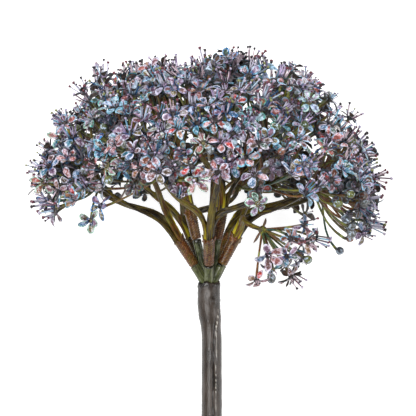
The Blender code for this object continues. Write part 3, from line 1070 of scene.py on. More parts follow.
@dataclass
class Workshop:
    """What every sub-assembly needs: the pose, the finishes, and a way to hand a piece in."""

    pose: Matrix
    rest_height: float = 0.25 * MM
    paints: dict[Finish, Material] = field(
        default_factory=lambda: {finish: finish.value.dress() for finish in Finish}
    )

    def hand_in(self, piece: Object, nodes: tuple[str, ...] = ()) -> None:
        """Lays a finished piece down and registers it with the frame.

        Args:
            piece: the piece, its mesh still in the head's own axes.
            nodes: the CAD nodes that it stands for.
        """
        piece.data.transform(self.pose)
        for vertex in piece.data.vertices:
            if vertex.co.z < self.rest_height:
                vertex.co.z += (self.rest_height - vertex.co.z) * 0.97
        piece.data.update()
        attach(piece, "root")
        if nodes:
            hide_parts(*nodes)
        LOG.info("%s: %d faces", piece.name, len(piece.data.polygons))


class Skin:
    """A closed tube through rings of points, with its own map and a few numbers for its paint."""

    def __init__(self) -> None:
        """Starts with no rings."""
        self.bm = bmesh.new()
        self.map = self.bm.loops.layers.uv.new("skin")
        self.numbers = {
            name: self.bm.verts.layers.float.new(name) for name in ("variety", "edge", "ridge", "foot")
        }

    @staticmethod
    def spread(variety: float, u: float, v: float) -> Pair:
        """A place in the map, moved by the tube's own number so that no two tubes look alike."""
        return u + variety * 5, v + variety * 7

    def tube(
        self,
        rings: Rings,
        variety: float,
        edge: PointNumber | None = None,
        ridge: PointNumber | None = None,
    ) -> None:
        """Adds one closed tube.

        Args:
            rings: rings of the same number of points, from one end to the other.
            variety: the tube's own number, 0 to 1.
            edge: the edge number of each point.
            ridge: the ridge number of each point.
        """
        rows = [[self.bm.verts.new(point) for point in ring] for ring in rings]
        lengths = [0.0]
        for low, high in zip(rings, rings[1:]):
            middle_low = sum(low, Vector()) / len(low)
            middle_high = sum(high, Vector()) / len(high)
            step = max((middle_high - middle_low).length, (high[0] - low[0]).length)
            lengths.append(lengths[-1] + step * MAP_SCALE)
        for i, row in enumerate(rows):
            for j, vertex in enumerate(row):
                vertex[self.numbers["variety"]] = variety
                vertex[self.numbers["foot"]] = 1 - i / len(rows)
                if edge:
                    vertex[self.numbers["edge"]] = edge(i, j)
                if ridge:
                    vertex[self.numbers["ridge"]] = ridge(i, j)
        count = len(rows[0])
        for i, (low, high) in enumerate(zip(rows, rows[1:])):
            for j in range(count):
                k = (j + 1) % count
                face = self.bm.faces.new((low[j], low[k], high[k], high[j]))
                around = (j / count, (j + 1) / count, (j + 1) / count, j / count)
                along = (lengths[i], lengths[i], lengths[i + 1], lengths[i + 1])
                for loop, u, v in zip(face.loops, around, along):
                    loop[self.map].uv = self.spread(variety, u, v)
        self.cap(rows[0], variety, last=False)
        self.cap(rows[-1], variety, last=True)

    def cap(self, row: list[Vertex], variety: float, last: bool) -> None:
        """Closes one end of a tube with a fan.

        Args:
            row: the end ring.
            variety: the tube's own number.
            last: True for the far end.
        """
        middle = self.bm.verts.new(sum((v.co for v in row), Vector()) / len(row))
        middle[self.numbers["variety"]] = variety
        for j, vertex in enumerate(row):
            after = row[(j + 1) % len(row)]
            corners = (vertex, after, middle) if last else (after, vertex, middle)
            face = self.bm.faces.new(corners)
            for loop in face.loops:
                flat = (loop.vert.co - middle.co) * MAP_SCALE
                loop[self.map].uv = self.spread(variety, flat.x + flat.z, flat.y)

    def piece(self, name: str, finish: Material, sharp: float = 50) -> Object:
        """Turns the tubes into an object.

        Args:
            name: the piece's name.
            finish: its material.
            sharp: the angle past which an edge stays sharp, in degrees.

        Returns:
            The object, in the head's own axes.
        """
        bmesh.ops.recalc_face_normals(self.bm, faces=self.bm.faces)
        mesh = meshed(name, self.bm)
        mesh.materials.append(finish)
        mesh.set_sharp_from_angle(angle=radians(sharp))
        return linked(name, mesh)


@dataclass(frozen=True)
class Crease:
    """A groove that runs down the stem, or a ridge where its height is above 0."""

    turn: float
    width: float
    height: float
    follows: float = 1.0

    def share(self, turn: float, wander: float) -> float:
        """1 on the crease and 0 away from it, where creases wander to the side by an angle."""
        return bell(turn - self.turn - wander * self.follows, self.width)


@dataclass
class Stem:
    """The dark cut stem with its collar, its groove and ridge, its dent and ragged rim.

    A depth is a distance below the stem's top. A turn is an angle from the viewer's side,
    positive to the right.
    """

    length: float = 80 * MM
    radius: float = 3.95 * MM
    foot_radius: float = 4.2 * MM
    sway: float = 1.1 * MM
    collar_radius: float = 4.5 * MM
    collar_length: float = 13 * MM
    collar_taper: float = 5 * MM
    recess_radius: float = 3.85 * MM
    recess_depth: float = 5.5 * MM
    lip_height: float = 0.28 * MM
    sides: int = 64
    row_pitch: float = 0.75 * MM
    groove: Crease = Crease(radians(13), 0.11, -0.8 * MM)
    # Width of the painted shade in the groove, in radians.
    groove_shade_width: float = 0.09
    ridge: Crease = Crease(radians(27), 0.07, 0.3 * MM)
    crease_start: Pair = (12 * MM, 18 * MM)
    side_creases: tuple[Crease, ...] = (
        Crease(-2.2, 0.2, -0.22 * MM),
        Crease(2.6, 0.18, -0.25 * MM, follows=-1.0),
    )
    dent_turn: float = radians(16)
    dent_depth: float = 7.2 * MM
    dent_radius: float = 1.3 * MM

    @staticmethod
    def lead(depth: float, turn: float) -> Vector:
        """Where a place on the skin reads the noise, about one step for a millimetre."""
        return Vector((sin(turn) * 4, depth * 1000, cos(turn) * 4))

    def wander(self, depth: float, turn: float) -> float:
        """How far the groove and the ridge stray to the side, in radians."""
        drift = 0.38 * ease(26 * MM, 10 * MM, depth) - 0.06 * depth / self.length
        return noise(self.lead(depth, turn) * 0.09) * 0.12 + drift

    def marks_at(self, depth: float, turn: float) -> float:
        """What the ragged rim, the dent and the bulge beside it add to the radius.

        Args:
            depth: the distance below the stem's top.
            turn: the angle from the viewer's side.

        Returns:
            The extra radius.
        """
        lip = bell(depth - 0.9 * MM, 0.7 * MM) * (0.6 + noise(Vector((turn * 3, 2, 9))))
        ragged = noise(Vector((turn * 4, depth * 900, 7))) * ease(3 * MM, 0.0, depth)
        rim = self.lip_height * lip + 0.3 * MM * ragged - 0.35 * MM * ease(0.5 * MM, 0.0, depth)
        away = hypot((turn - self.dent_turn) * self.radius, (depth - self.dent_depth) * 0.6)
        bulge = bell(turn + 1.2, 0.6) * bell(depth - 8 * MM, 6 * MM)
        edge = bell(away - self.dent_radius, 0.5 * MM)
        return rim + 0.2 * MM * (bulge + edge) - 0.55 * MM * bell(away, 0.6 * MM)

    def radius_at(self, depth: float, turn: float) -> float:
        """Radius of the skin.

        Args:
            depth: the distance below the stem's top.
            turn: the angle from the viewer's side.

        Returns:
            The radius.
        """
        fall = ease(self.collar_length, self.collar_length + self.collar_taper, depth)
        low = self.radius + (self.foot_radius - self.radius) * depth / self.length
        reach = self.collar_radius + (low - self.collar_radius) * fall
        reach += self.marks_at(depth, turn)
        below = ease(*self.crease_start, depth)
        wander = self.wander(depth, turn)
        for crease in (self.groove, self.ridge):
            reach += crease.height * crease.share(turn, wander) * below
        for crease in self.side_creases:
            reach += crease.height * crease.share(turn, wander)
        lead = self.lead(depth, turn)
        reach += 0.1 * MM * noise(lead * 0.35)
        reach += 0.11 * MM * noise(lead * 1.1) * (1.2 - below)
        return reach + 0.03 * MM * noise(lead * 2.3)

    def row_count(self) -> int:
        """How many rows of faces run down the outside."""
        return round(self.length / self.row_pitch)

    def rings(self) -> Rings:
        """Rings from the foot of the recess, over the rim and down to the cut end.

        Returns:
            The rings.
        """
        turns = [turn - pi for turn in ring_turns(self.sides)]
        sides = [Vector((sin(turn), 0, cos(turn))) for turn in turns]
        ragged = [MM * (1.1 * noise(s * 2.3) + noise(s * 6) + 0.3) for s in sides]
        made = [[side * self.recess_radius - Vector((0, self.recess_depth, 0)) for side in sides]]
        for share in (0.0, 0.5):
            ring = []
            for side, turn, lip in zip(sides, turns, ragged):
                reach = self.recess_radius + share * (self.radius_at(0, turn) - self.recess_radius)
                ring.append(side * reach + Vector((0, lip * (0.7 + share * 0.6), 0)))
            made.append(ring)
        rows = self.row_count()
        for i in range(rows + 1):
            depth = self.length * i / rows
            fade = max(0.0, 1 - depth / (4 * MM))
            shift = self.sway * ease(6 * MM, 24 * MM, depth)
            ring = []
            for side, turn, lip in zip(sides, turns, ragged):
                ring.append(side * self.radius_at(depth, turn) + Vector((shift, lip * fade - depth, 0)))
            made.append(ring)
        end = Vector((self.sway, -self.length, 0))
        made.append([end + side * self.radius * 0.9 for side in sides])
        made.append([end + side * self.radius * 0.45 + Vector((0, 0.3 * MM, 0)) for side in sides])
        return made

    def edge_at(self, i: int, j: int) -> float:
        """The number that paints a highlight on the ridge and shade in the groove.

        Args:
            i: the number of the ring.
            j: the point's place in it.

        Returns:
            Near 1 on the ridge, -1 in the groove and 0 elsewhere.
        """
        turn = ring_turns(self.sides)[j] - pi
        depth = self.length * i / self.row_count()
        wander = self.wander(depth, turn)
        # The ridge's painted highlight is broken up and fades down the stem.
        broken = 0.9 + 0.75 * noise(Vector((0, depth * 1300, 3)))
        broken -= 0.2 * ease(14 * MM, 34 * MM, depth)
        ridge = self.ridge.share(turn, wander) * ease(11 * MM, 14 * MM, depth) * broken
        groove = bell(turn - self.groove.turn - wander, self.groove_shade_width)
        return ridge - groove * ease(*self.crease_start, depth)

    def build(self, shop: Workshop) -> None:
        """Builds the stem and hands it in.

        Args:
            shop: where it is handed in.
        """
        skin = Skin()
        skin.tube(self.rings(), 1.0, edge=self.edge_at)
        piece = skin.piece("stem_skin", shop.paints[Finish.STEM], 70)
        shop.hand_in(piece, ("main_stem",))


def lit_side(sides: int, phase: float) -> PointNumber:
    """An edge number that swells from 0 to 1 and back once round a tube, from a phase on."""
    return lambda i, j: 0.5 + 0.5 * cos(FULL_TURN * j / sides + phase)


@dataclass
class Crown:
    """The green plug in the stem's top, with a prong for each spray."""

    sprays: list[Spray]
    plug_radius: float = 3.6 * MM
    plug_depth: float = 5.0 * MM
    root: float = 1.6 * MM
    flare: float = 1.12
    thick_prong: float = 1.6 * MM
    thick_share: float = 1.08
    thin_share: float = 1.15
    thick_varieties: Pair = (0.5, 1.0)
    thin_varieties: Pair = (0.1, 0.4)
    plug_variety: float = 0.2
    sides: int = 20
    rows: int = 44
    rng: Random = field(default_factory=lambda: Random(3))

    def is_thick(self, spray: Spray) -> bool:
        """Whether the spray's prong is one of the thick outer ones."""
        return spray.prong_radius > self.thick_prong

    def plug_rings(self) -> Rings:
        """Rings of the plug, from its foot to its top, which has a small bevel.

        Returns:
            The rings.
        """
        made = []
        inner_shade = (self.plug_depth, self.plug_depth, 0.4 * MM, 0.1 * MM)
        for depth, share in zip(inner_shade, (0.96, 1.0, 1.0, 0.9)):
            ring = []
            for turn in ring_turns(self.sides * 2):
                side = Vector((sin(turn), 0, cos(turn)))
                ring.append(side * self.plug_radius * share - Vector((0, depth, 0)))
            made.append(ring)
        return made

    def prong_rings(self, spray: Spray) -> Rings:
        """Rings of one prong, from its root to its rounded top.

        Args:
            spray: the spray that the prong carries.

        Returns:
            The rings.
        """
        turns = ring_turns(self.sides)
        sides = spokes(spray.direction, turns)
        phase = self.rng.uniform(0, FULL_TURN)
        made = []
        for i in range(self.rows + 1):
            share = i / self.rows
            height = -self.root + (spray.prong_length + self.root) * share
            reach = spray.prong_radius * (self.thick_share if self.is_thick(spray) else self.thin_share)
            reach *= 1 + (self.flare - 1) * ease(0.35, 0.0, share)
            reach *= 1 - 0.14 * ease(0.975, 1.0, share)
            reach *= 1 + 0.05 * bell(share - 0.945, 0.02) - 0.05 * bell(share - 0.9, 0.015)
            ring = []
            for turn, side in zip(turns, sides):
                wobble = 1 + 0.04 * cos(3 * turn + phase) + 0.03 * cos(7 * turn - phase)
                point = spray.foot + spray.direction * height + side * reach * wobble
                point += side * 0.1 * MM * noise(point * 700)
                ring.append(point)
            made.append(ring)
        return made

    def build(self, shop: Workshop) -> None:
        """Builds the crown and hands it in.

        Args:
            shop: where it is handed in.
        """
        skin = Skin()
        skin.tube(self.plug_rings(), self.plug_variety)
        for spray in self.sprays:
            rings = self.prong_rings(spray)
            phase = self.rng.uniform(0, FULL_TURN)
            varieties = self.thick_varieties if self.is_thick(spray) else self.thin_varieties
            skin.tube(rings, self.rng.uniform(*varieties), edge=lit_side(self.sides, phase))
        piece = skin.piece("crown_prongs", shop.paints[Finish.PRONG], 60)
        shop.hand_in(piece, ("prong_crown",))


@dataclass
class Sleeve:
    """A brown sleeve on a prong, with fine slanting ridges and a ragged upper lip."""

    number: int
    spray: Spray
    radius: float = 2.15 * MM
    length: float = 12 * MM
    gap: float = 0.3 * MM
    lip: float = 2.6 * MM
    foot_share: float = 0.93
    top_share: float = 1.06
    ridge_pitch: float = 0.9 * MM
    ridge_depth: float = 0.14 * MM
    slant: float = 1.3
    sides: int = 28
    rows: int = 52

    def middle_at(self, height: float) -> Vector:
        """The middle of the sleeve at a height above its foot."""
        along = self.spray.prong_length + self.gap + height
        return self.spray.foot + self.spray.direction * along

    def top(self) -> Vector:
        """The middle of the sleeve's upper end."""
        return self.middle_at(self.length)

    def ridge_at(self, i: int, j: int) -> float:
        """How many ridges lie below a point of the skin."""
        height = self.length * i / self.rows
        return (height + self.slant * MM * sin(FULL_TURN * j / self.sides)) / self.ridge_pitch

    def rings(self) -> Rings:
        """Rings from the foot to the lip.

        Returns:
            The rings.
        """
        axis = self.spray.direction
        sides = spokes(axis, ring_turns(self.sides))
        made = []
        for i in range(self.rows + 1):
            share = i / self.rows
            middle = self.middle_at(self.length * share)
            swell = self.foot_share + (self.top_share - self.foot_share) * ease(0.0, 0.8, share)
            swell *= 1 - 0.1 * ease(0.03, 0.0, share)
            ring = []
            for j, side in enumerate(sides):
                bead = sin(FULL_TURN * self.ridge_at(i, j)) * self.ridge_depth
                bead *= ease(0.0, 0.08, share) * ease(1.0, 0.8, share)
                spot = middle + side * self.radius
                bead *= 0.6 + 0.8 * abs(noise(spot * 420 + Vector((0, 0, self.number))))
                reach = self.radius * swell + bead + 0.08 * MM * noise(spot * 900)
                lip = self.lip * noise(side * 1.9 + Vector((0, self.number, 0)))
                lip *= ease(0.82, 1.0, share)
                ring.append(middle + axis * lip + side * (reach + 0.5 * abs(lip)))
            made.append(ring)
        return made

    def build(self, shop: Workshop) -> None:
        """Builds the sleeve and hands it in.

        Args:
            shop: where it is handed in.
        """
        rng = Random(self.number)
        skin = Skin()
        phase = rng.uniform(0, FULL_TURN)
        edge = lit_side(self.sides, phase)
        skin.tube(self.rings(), rng.uniform(0.2, 1.0), edge=edge, ridge=self.ridge_at)
        piece = skin.piece(f"ridged_sleeve_{self.number}", shop.paints[Finish.SLEEVE])
        shop.hand_in(piece, (f"spray_{self.number}_sleeve",))


@dataclass
class Branch:
    """A flat grooved strap from a sleeve's top to an umbel's hub."""

    name: str
    spray: Spray
    top: Vector
    umbel: Umbel
    foot_side: Vector
    number: int
    hub_radius: float = 1.7 * MM
    gap: float = 0.3 * MM
    foot_offset: float = 1.25 * MM
    foot: Pair = (2.7 * MM, 1.7 * MM)
    middle: Pair = (3.1 * MM, 1.4 * MM)
    tip: Pair = (1.7 * MM, 1.4 * MM)
    widest: float = 0.3
    pull_share: float = 0.45
    sunk: float = 1.4 * MM
    tip_sunk: float = 1.2 * MM
    squareness: float = 0.8
    sides: int = 30
    rows: int = 46

    def path(self) -> list[tuple[Vector, Vector]]:
        """Points and directions from just inside the sleeve to just inside the hub.

        Returns:
            A (point, direction) pair for each ring.
        """
        start = self.top + self.spray.direction * self.gap + self.foot_side * self.foot_offset
        end = self.umbel.hub - self.umbel.arrival * (self.hub_radius + self.gap)
        pull = (end - start).length * self.pull_share
        near = start + self.spray.direction * pull
        far = end - self.umbel.arrival * pull
        made = []
        for i in range(self.rows + 1):
            t = i / self.rows
            s = 1 - t
            point = start * s**3 + near * 3 * s * s * t + far * 3 * s * t * t + end * t**3
            slope = (near - start) * s * s + (far - near) * 2 * s * t + (end - far) * t * t
            made.append((point, slope.normalized()))
        first, last = made[0], made[-1]
        made.insert(0, (first[0] - first[1] * self.sunk, first[1]))
        made.append((last[0] + last[1] * self.tip_sunk, last[1]))
        return made

    def section(self, t: float) -> Pair:
        """Width and thickness of the strap.

        Args:
            t: the share of the way up.

        Returns:
            The two sizes.
        """
        if t < self.widest:
            share, low, high = ease(0, self.widest, t), self.foot, self.middle
        else:
            share, low, high = (t - self.widest) / (1 - self.widest), self.middle, self.tip
        return tuple(a + (b - a) * share for a, b in zip(low, high))

    def rings(self, rng: Random) -> Rings:
        """Rings of the grooved strap.

        Args:
            rng: the source of chance.

        Returns:
            The rings.
        """
        path = self.path()
        phase = rng.uniform(0, FULL_TURN)
        twist = rng.uniform(-0.5, 0.5)
        sway = anywhere(rng)
        made = []
        for i, (point, slope) in enumerate(path):
            t = min(1.0, max(0.0, (i - 1) / self.rows))
            out = (self.foot_side - slope * self.foot_side.dot(slope)).normalized()
            side = slope.cross(out)
            turned = twist * sin(pi * t)
            out, side = (
                out * cos(turned) + side * sin(turned),
                side * cos(turned) - out * sin(turned),
            )
            width, thickness = self.section(t)
            width *= 1 + 0.16 * noise(Vector((t * 5, self.number * 3.7, 0)))
            stray = noise(Vector((t * 3, self.number, 5)))
            point = point + sway * 0.5 * MM * sin(pi * t) * stray
            drift = 0.5 * noise(Vector((t * 4, self.number * 1.9, 2)))
            ring = []
            for turn in ring_turns(self.sides):
                u, v = cos(turn), sin(turn)
                u = copysign(abs(u) ** self.squareness, u)
                v = copysign(abs(v) ** self.squareness, v)
                groove = 1 + 0.2 * cos(2.5 * pi * (u + drift) + phase)
                groove += 0.12 * noise(Vector((turn * 1.5, t * 14, self.number * 2.3)))
                spot = point + side * (u * width / 2) + out * (v * thickness / 2 * groove)
                ring.append(spot + side * 0.12 * MM * noise(spot * 600))
            made.append(ring)
        return made

    def edge_at(self, i: int, j: int) -> float:
        """1 on one of the strap's edges, falling to 0 at the middle of its faces."""
        return max(0.0, cos(FULL_TURN * j / self.sides))

    def build(self, shop: Workshop) -> None:
        """Builds the branch and hands it in.

        Args:
            shop: where it is handed in.
        """
        rng = Random(100 + self.number)
        skin = Skin()
        rings = self.rings(rng)
        skin.tube(rings, rng.random(), edge=self.edge_at)
        piece = skin.piece(self.name.replace("branch", "strap"), shop.paints[Finish.BRANCH])
        shop.hand_in(piece, (self.name,))


class GrowthGraph(Graph):
    """A geometry-nodes tree under construction, with named inputs."""

    def __init__(self, name: str) -> None:
        """Starts a tree that takes seeds and gives a mesh.

        Args:
            name: the tree's name.
        """
        super().__init__(bpy.data.node_groups.new(name, "GeometryNodeTree"))
        self.tree.interface.new_socket("Mesh", in_out="OUTPUT", socket_type="NodeSocketGeometry")
        self.tree.interface.new_socket("Seeds", in_out="INPUT", socket_type="NodeSocketGeometry")
        self.entry = self.tree.nodes.new("NodeGroupInput")

    def ask(self, name: str, kind: str) -> Socket:
        """Adds a named input of a kind such as Float, Int, Collection or Material."""
        self.tree.interface.new_socket(name, in_out="INPUT", socket_type=f"NodeSocket{kind}")
        return self.entry.outputs[name]

    def attribute(self, name: object, kind: str = "FLOAT") -> Socket:
        """An attribute of the seeds, by its name or by the socket that gives its name."""
        made = self.node("GeometryNodeInputNamedAttribute", {"Name": name}, data_type=kind)
        return self.pick(made.outputs, "Attribute")

    def chance(
        self, low: object, high: object, seed: Socket, shift: int, kind: str = "FLOAT"
    ) -> Socket:
        """A random number for each element.

        Args:
            low: the least.
            high: the greatest.
            seed: the tree's seed.
            shift: what tells this choice from the tree's others.
            kind: FLOAT or INT.

        Returns:
            The number.
        """
        made = self.node(
            "FunctionNodeRandomValue",
            {"Min": low, "Max": high, "Seed": self.plus(seed, shift)},
            data_type=kind,
        )
        return self.pick(made.outputs, "Value")

    def sway(self, reach: Socket, seed: Socket, shift: int) -> Socket:
        """A random number for each element, as far below 0 as above it."""
        return self.times(self.chance(-1.0, 1.0, seed, shift), reach)

    def turned(self, rotation: Socket, axis: tuple[int, int, int], angle: Socket) -> Socket:
        """Turns a rotation further round one of its own axes.

        Args:
            rotation: the rotation.
            axis: the axis.
            angle: how far.

        Returns:
            The new rotation.
        """
        by = self.node("FunctionNodeAxisAngleToRotation", {"Axis": axis, "Angle": angle})
        made = self.node(
            "FunctionNodeRotateRotation",
            {"Rotation": rotation, "Rotate By": by.outputs[0]},
            rotation_space="LOCAL",
        )
        return made.outputs[0]

    def stored(
        self, geometry: Socket, name: str, value: Socket, domain: str, kind: str = "FLOAT"
    ) -> Socket:
        """Stores a named attribute.

        Args:
            geometry: what gets it.
            name: its name.
            value: its value for each element.
            domain: POINT or INSTANCE.
            kind: FLOAT or INT.

        Returns:
            The geometry with the attribute.
        """
        made = self.node(
            "GeometryNodeStoreNamedAttribute",
            {"Geometry": geometry, "Name": name, "Value": value},
            data_type=kind,
            domain=domain,
        )
        return made.outputs[0]

    def close(self, geometry: Socket, finish: Socket) -> Tree:
        """Ends the tree with Realize Instances and Set Material.

        Args:
            geometry: what has been grown.
            finish: the material.

        Returns:
            The finished tree.
        """
        real = self.node("GeometryNodeRealizeInstances", {0: geometry}).outputs[0]
        dressed = self.node("GeometryNodeSetMaterial", {"Geometry": real, "Material": finish})
        leave = self.tree.nodes.new("NodeGroupOutput")
        self.tree.links.new(dressed.outputs[0], leave.inputs[0])
        return self.tree


def grown(name: str, seeds: Mesh, tree: Tree, values: dict[str, object]) -> Object:
    """Grows a plain mesh object from seeds.

    Args:
        name: the new object's name.
        seeds: the seed mesh. It is used up.
        tree: the geometry-nodes tree.
        values: the tree's inputs by name.

    Returns:
        An object with the finished mesh and no modifier.
    """
    made = linked(name, seeds)
    modifier = made.modifiers.new(tree.name, "NODES")
    modifier.node_group = tree
    ids = {item.name: item.identifier for item in tree.interface.items_tree if item.in_out == "INPUT"}
    for key, value in values.items():
        modifier[ids[key]] = value
    graph = bpy.context.evaluated_depsgraph_get()
    mesh = bpy.data.meshes.new_from_object(
        made.evaluated_get(graph), preserve_all_data_layers=True, depsgraph=graph
    )
    made.modifiers.remove(modifier)
    made.data = mesh
    mesh.name = name
    bpy.data.meshes.remove(seeds)
    return made


# The kind of socket of each input of the whorl tree.
WHORL_INPUTS = {
    "Shapes": "Collection", "Kinds": "Int", "Fewest": "Int", "Most": "Int",
    "Turn Jitter": "Float", "Lean Low": "Float", "Lean High": "Float", "Opening": "String",
    "Size": "String", "Twist": "Float", "Scale Low": "Float", "Scale High": "Float",
    "Seed": "Int", "Finish": "Material",
}


def whorl_tree() -> Tree:
    """The tree that sets copies of small shapes in a ring round each seed's facing.

    Returns:
        The tree.
    """
    graph = GrowthGraph("whorl")
    asked = {name: graph.ask(name, kind) for name, kind in WHORL_INPUTS.items()}
    seed = asked["Seed"]
    copies = graph.chance(asked["Fewest"], asked["Most"], seed, 1, "INT")
    counted = graph.stored(graph.entry.outputs["Seeds"], "copies", copies, "POINT", "INT")
    count = graph.attribute("copies", "INT")
    spread = graph.node(
        "GeometryNodeDuplicateElements", {"Geometry": counted, "Amount": count}, domain="POINT"
    )
    turn = graph.times(spread.outputs["Duplicate Index"], graph.math("DIVIDE", FULL_TURN, count))
    turn = graph.plus(turn, graph.sway(asked["Turn Jitter"], seed, 2))
    lean = graph.chance(asked["Lean Low"], asked["Lean High"], seed, 3)
    lean = graph.plus(lean, graph.attribute(asked["Opening"]))
    rotation = graph.turned(graph.attribute("facing", "QUATERNION"), (0, 0, 1), turn)
    rotation = graph.turned(rotation, (0, 1, 0), graph.times(lean, -1.0))
    rotation = graph.turned(rotation, (1, 0, 0), graph.sway(asked["Twist"], seed, 4))
    shapes = graph.node(
        "GeometryNodeCollectionInfo",
        {"Collection": asked["Shapes"], "Separate Children": True, "Reset Children": True},
    )
    size = graph.chance(asked["Scale Low"], asked["Scale High"], seed, 5)
    last_kind = graph.math("SUBTRACT", asked["Kinds"], 1)
    placed = graph.node(
        "GeometryNodeInstanceOnPoints",
        {
            "Points": spread.outputs["Geometry"],
            "Instance": shapes.outputs[0],
            "Pick Instance": True,
            "Instance Index": graph.chance(0, last_kind, seed, 6, "INT"),
            "Rotation": rotation,
            "Scale": graph.times(size, graph.attribute(asked["Size"])),
        },
    )
    tone = graph.chance(0.0, 1.0, seed, 7)
    return graph.close(graph.stored(placed.outputs[0], "tone", tone, "INSTANCE"), asked["Finish"])


def sweep_tree() -> Tree:
    """The tree that gives each seed line a round body, as thick as its points say.

    Returns:
        The tree.
    """
    graph = GrowthGraph("sweep")
    sides = graph.ask("Sides", "Int")
    steps = graph.ask("Steps", "Int")
    finish = graph.ask("Finish", "Material")
    girth = graph.attribute("girth")
    lines = graph.node("GeometryNodeMeshToCurve", {"Mesh": graph.entry.outputs["Seeds"]})
    smooth = graph.node(
        "GeometryNodeCurveSplineType", {"Curve": lines.outputs[0]}, spline_type="CATMULL_ROM"
    )
    fine = graph.node("GeometryNodeSetSplineResolution", {0: smooth.outputs[0], "Resolution": steps})
    thick = graph.node("GeometryNodeSetCurveRadius", {"Curve": fine.outputs[0], "Radius": girth})
    profile = graph.node("GeometryNodeCurvePrimitiveCircle", {"Resolution": sides, "Radius": 1.0})
    swept = graph.node(
        "GeometryNodeCurveToMesh",
        {"Curve": thick.outputs[0], "Profile Curve": profile.outputs[0], "Fill Caps": True},
    )
    for socket in swept.inputs:
        if socket.name == "Scale" and not socket.is_unavailable:
            graph.tree.links.new(girth, socket)
    return graph.close(swept.outputs[0], finish)


@dataclass(frozen=True)
class PetalShape:
    """One way a petal is bent. Its sizes are in millimetres."""

    name: str
    length: float
    width: float
    cup: float
    arch: float
    tip_drop: float
    notch: float = 0.0

    def height(self, share: float, off: float) -> float:
        """How high the petal stands, a share of the way out and off to one side."""
        rise = self.arch * sin(pi * share) - self.tip_drop * share**2
        return rise + self.cup * (off / self.width * 2) ** 2 * 0.6


PETAL_SHAPES = (
    PetalShape("petal_flat", 3.9, 2.55, 0.3, 0.15, 0.1),
    PetalShape("petal_cupped", 3.7, 2.5, 0.9, 0.0, -0.35),
    PetalShape("petal_arched", 4.0, 2.4, 0.4, 0.5, 0.6),
    PetalShape("petal_rolled", 3.9, 2.0, 1.2, 0.25, 0.0),
    PetalShape("petal_broad", 3.7, 2.9, 0.45, 0.2, 0.3, 0.25),
    PetalShape("petal_reflexed", 4.1, 2.3, -0.4, 0.4, 1.2),
)


class Loft:
    """A small closed shape made of rings of points, each point with one number."""

    def __init__(self, number: str) -> None:
        """Starts a shape.

        Args:
            number: the name of the number that its points carry.
        """
        self.bm = bmesh.new()
        self.layer = self.bm.verts.layers.float.new(number)
        self.rows: list[list[Vertex]] = []

    def point(self, place: Vector, value: float) -> Vertex:
        """Adds one point.

        Args:
            place: its place in millimetres.
            value: its number.

        Returns:
            The point.
        """
        vertex = self.bm.verts.new(place * MM)
        vertex[self.layer] = value
        return vertex

    def ring(self, places: list[Vector], values: list[float]) -> None:
        """Adds a ring and joins it to the one before.

        Args:
            places: its points, as many as the other rings have.
            values: their numbers.
        """
        row = [self.point(place, value) for place, value in zip(places, values)]
        if self.rows:
            low = self.rows[-1]
            for j in range(len(row)):
                k = (j + 1) % len(row)
                self.bm.faces.new((low[j], low[k], row[k], row[j]))
        self.rows.append(row)

    def lid(self, end: int) -> None:
        """Closes the first ring, 0, or the last one, -1, with one flat face."""
        self.bm.faces.new(self.rows[end] if end else reversed(self.rows[end]))

    def tip(self, end: int, place: Vector, value: float) -> None:
        """Closes an end with a fan.

        Args:
            end: 0 for the first ring, -1 for the last one.
            place: the point where the fan meets.
            value: that point's number.
        """
        pole = self.point(place, value)
        ring = self.rows[end]
        for j, vertex in enumerate(ring):
            self.bm.faces.new((vertex, ring[(j + 1) % len(ring)], pole))


@dataclass(frozen=True)
class Whorl:
    """How shapes of one kind stand round a floret. Leans are in degrees.

    Opening and size name the seeds' numbers that turn each shape forward and scale it.
    """

    kind: str
    fewest: int = 1
    most: int = 1
    turn_jitter: float = 0.0
    leans: Pair = (0.0, 0.0)
    opening: str = ""
    size: str = "size"
    twist: float = 0.0
    scales: Pair = (0.95, 1.05)


PETALS = Whorl("petal_shapes", 5, 5, 0.14, (-10, 14), "opening", twist=0.3, scales=(0.9, 1.08))
STAMENS = Whorl(
    "pin_shapes", 5, 9, 0.25, (-8, 8), "splay", size="tuft", twist=0.12, scales=(0.76, 1.0)
)
BUTTONS = Whorl("button_shapes")
BUDS = Whorl("bud_shapes")
BRACTS = Whorl("bract_shapes", 2, 4, 0.6, (-20, 55), twist=0.4, scales=(0.7, 1.0))


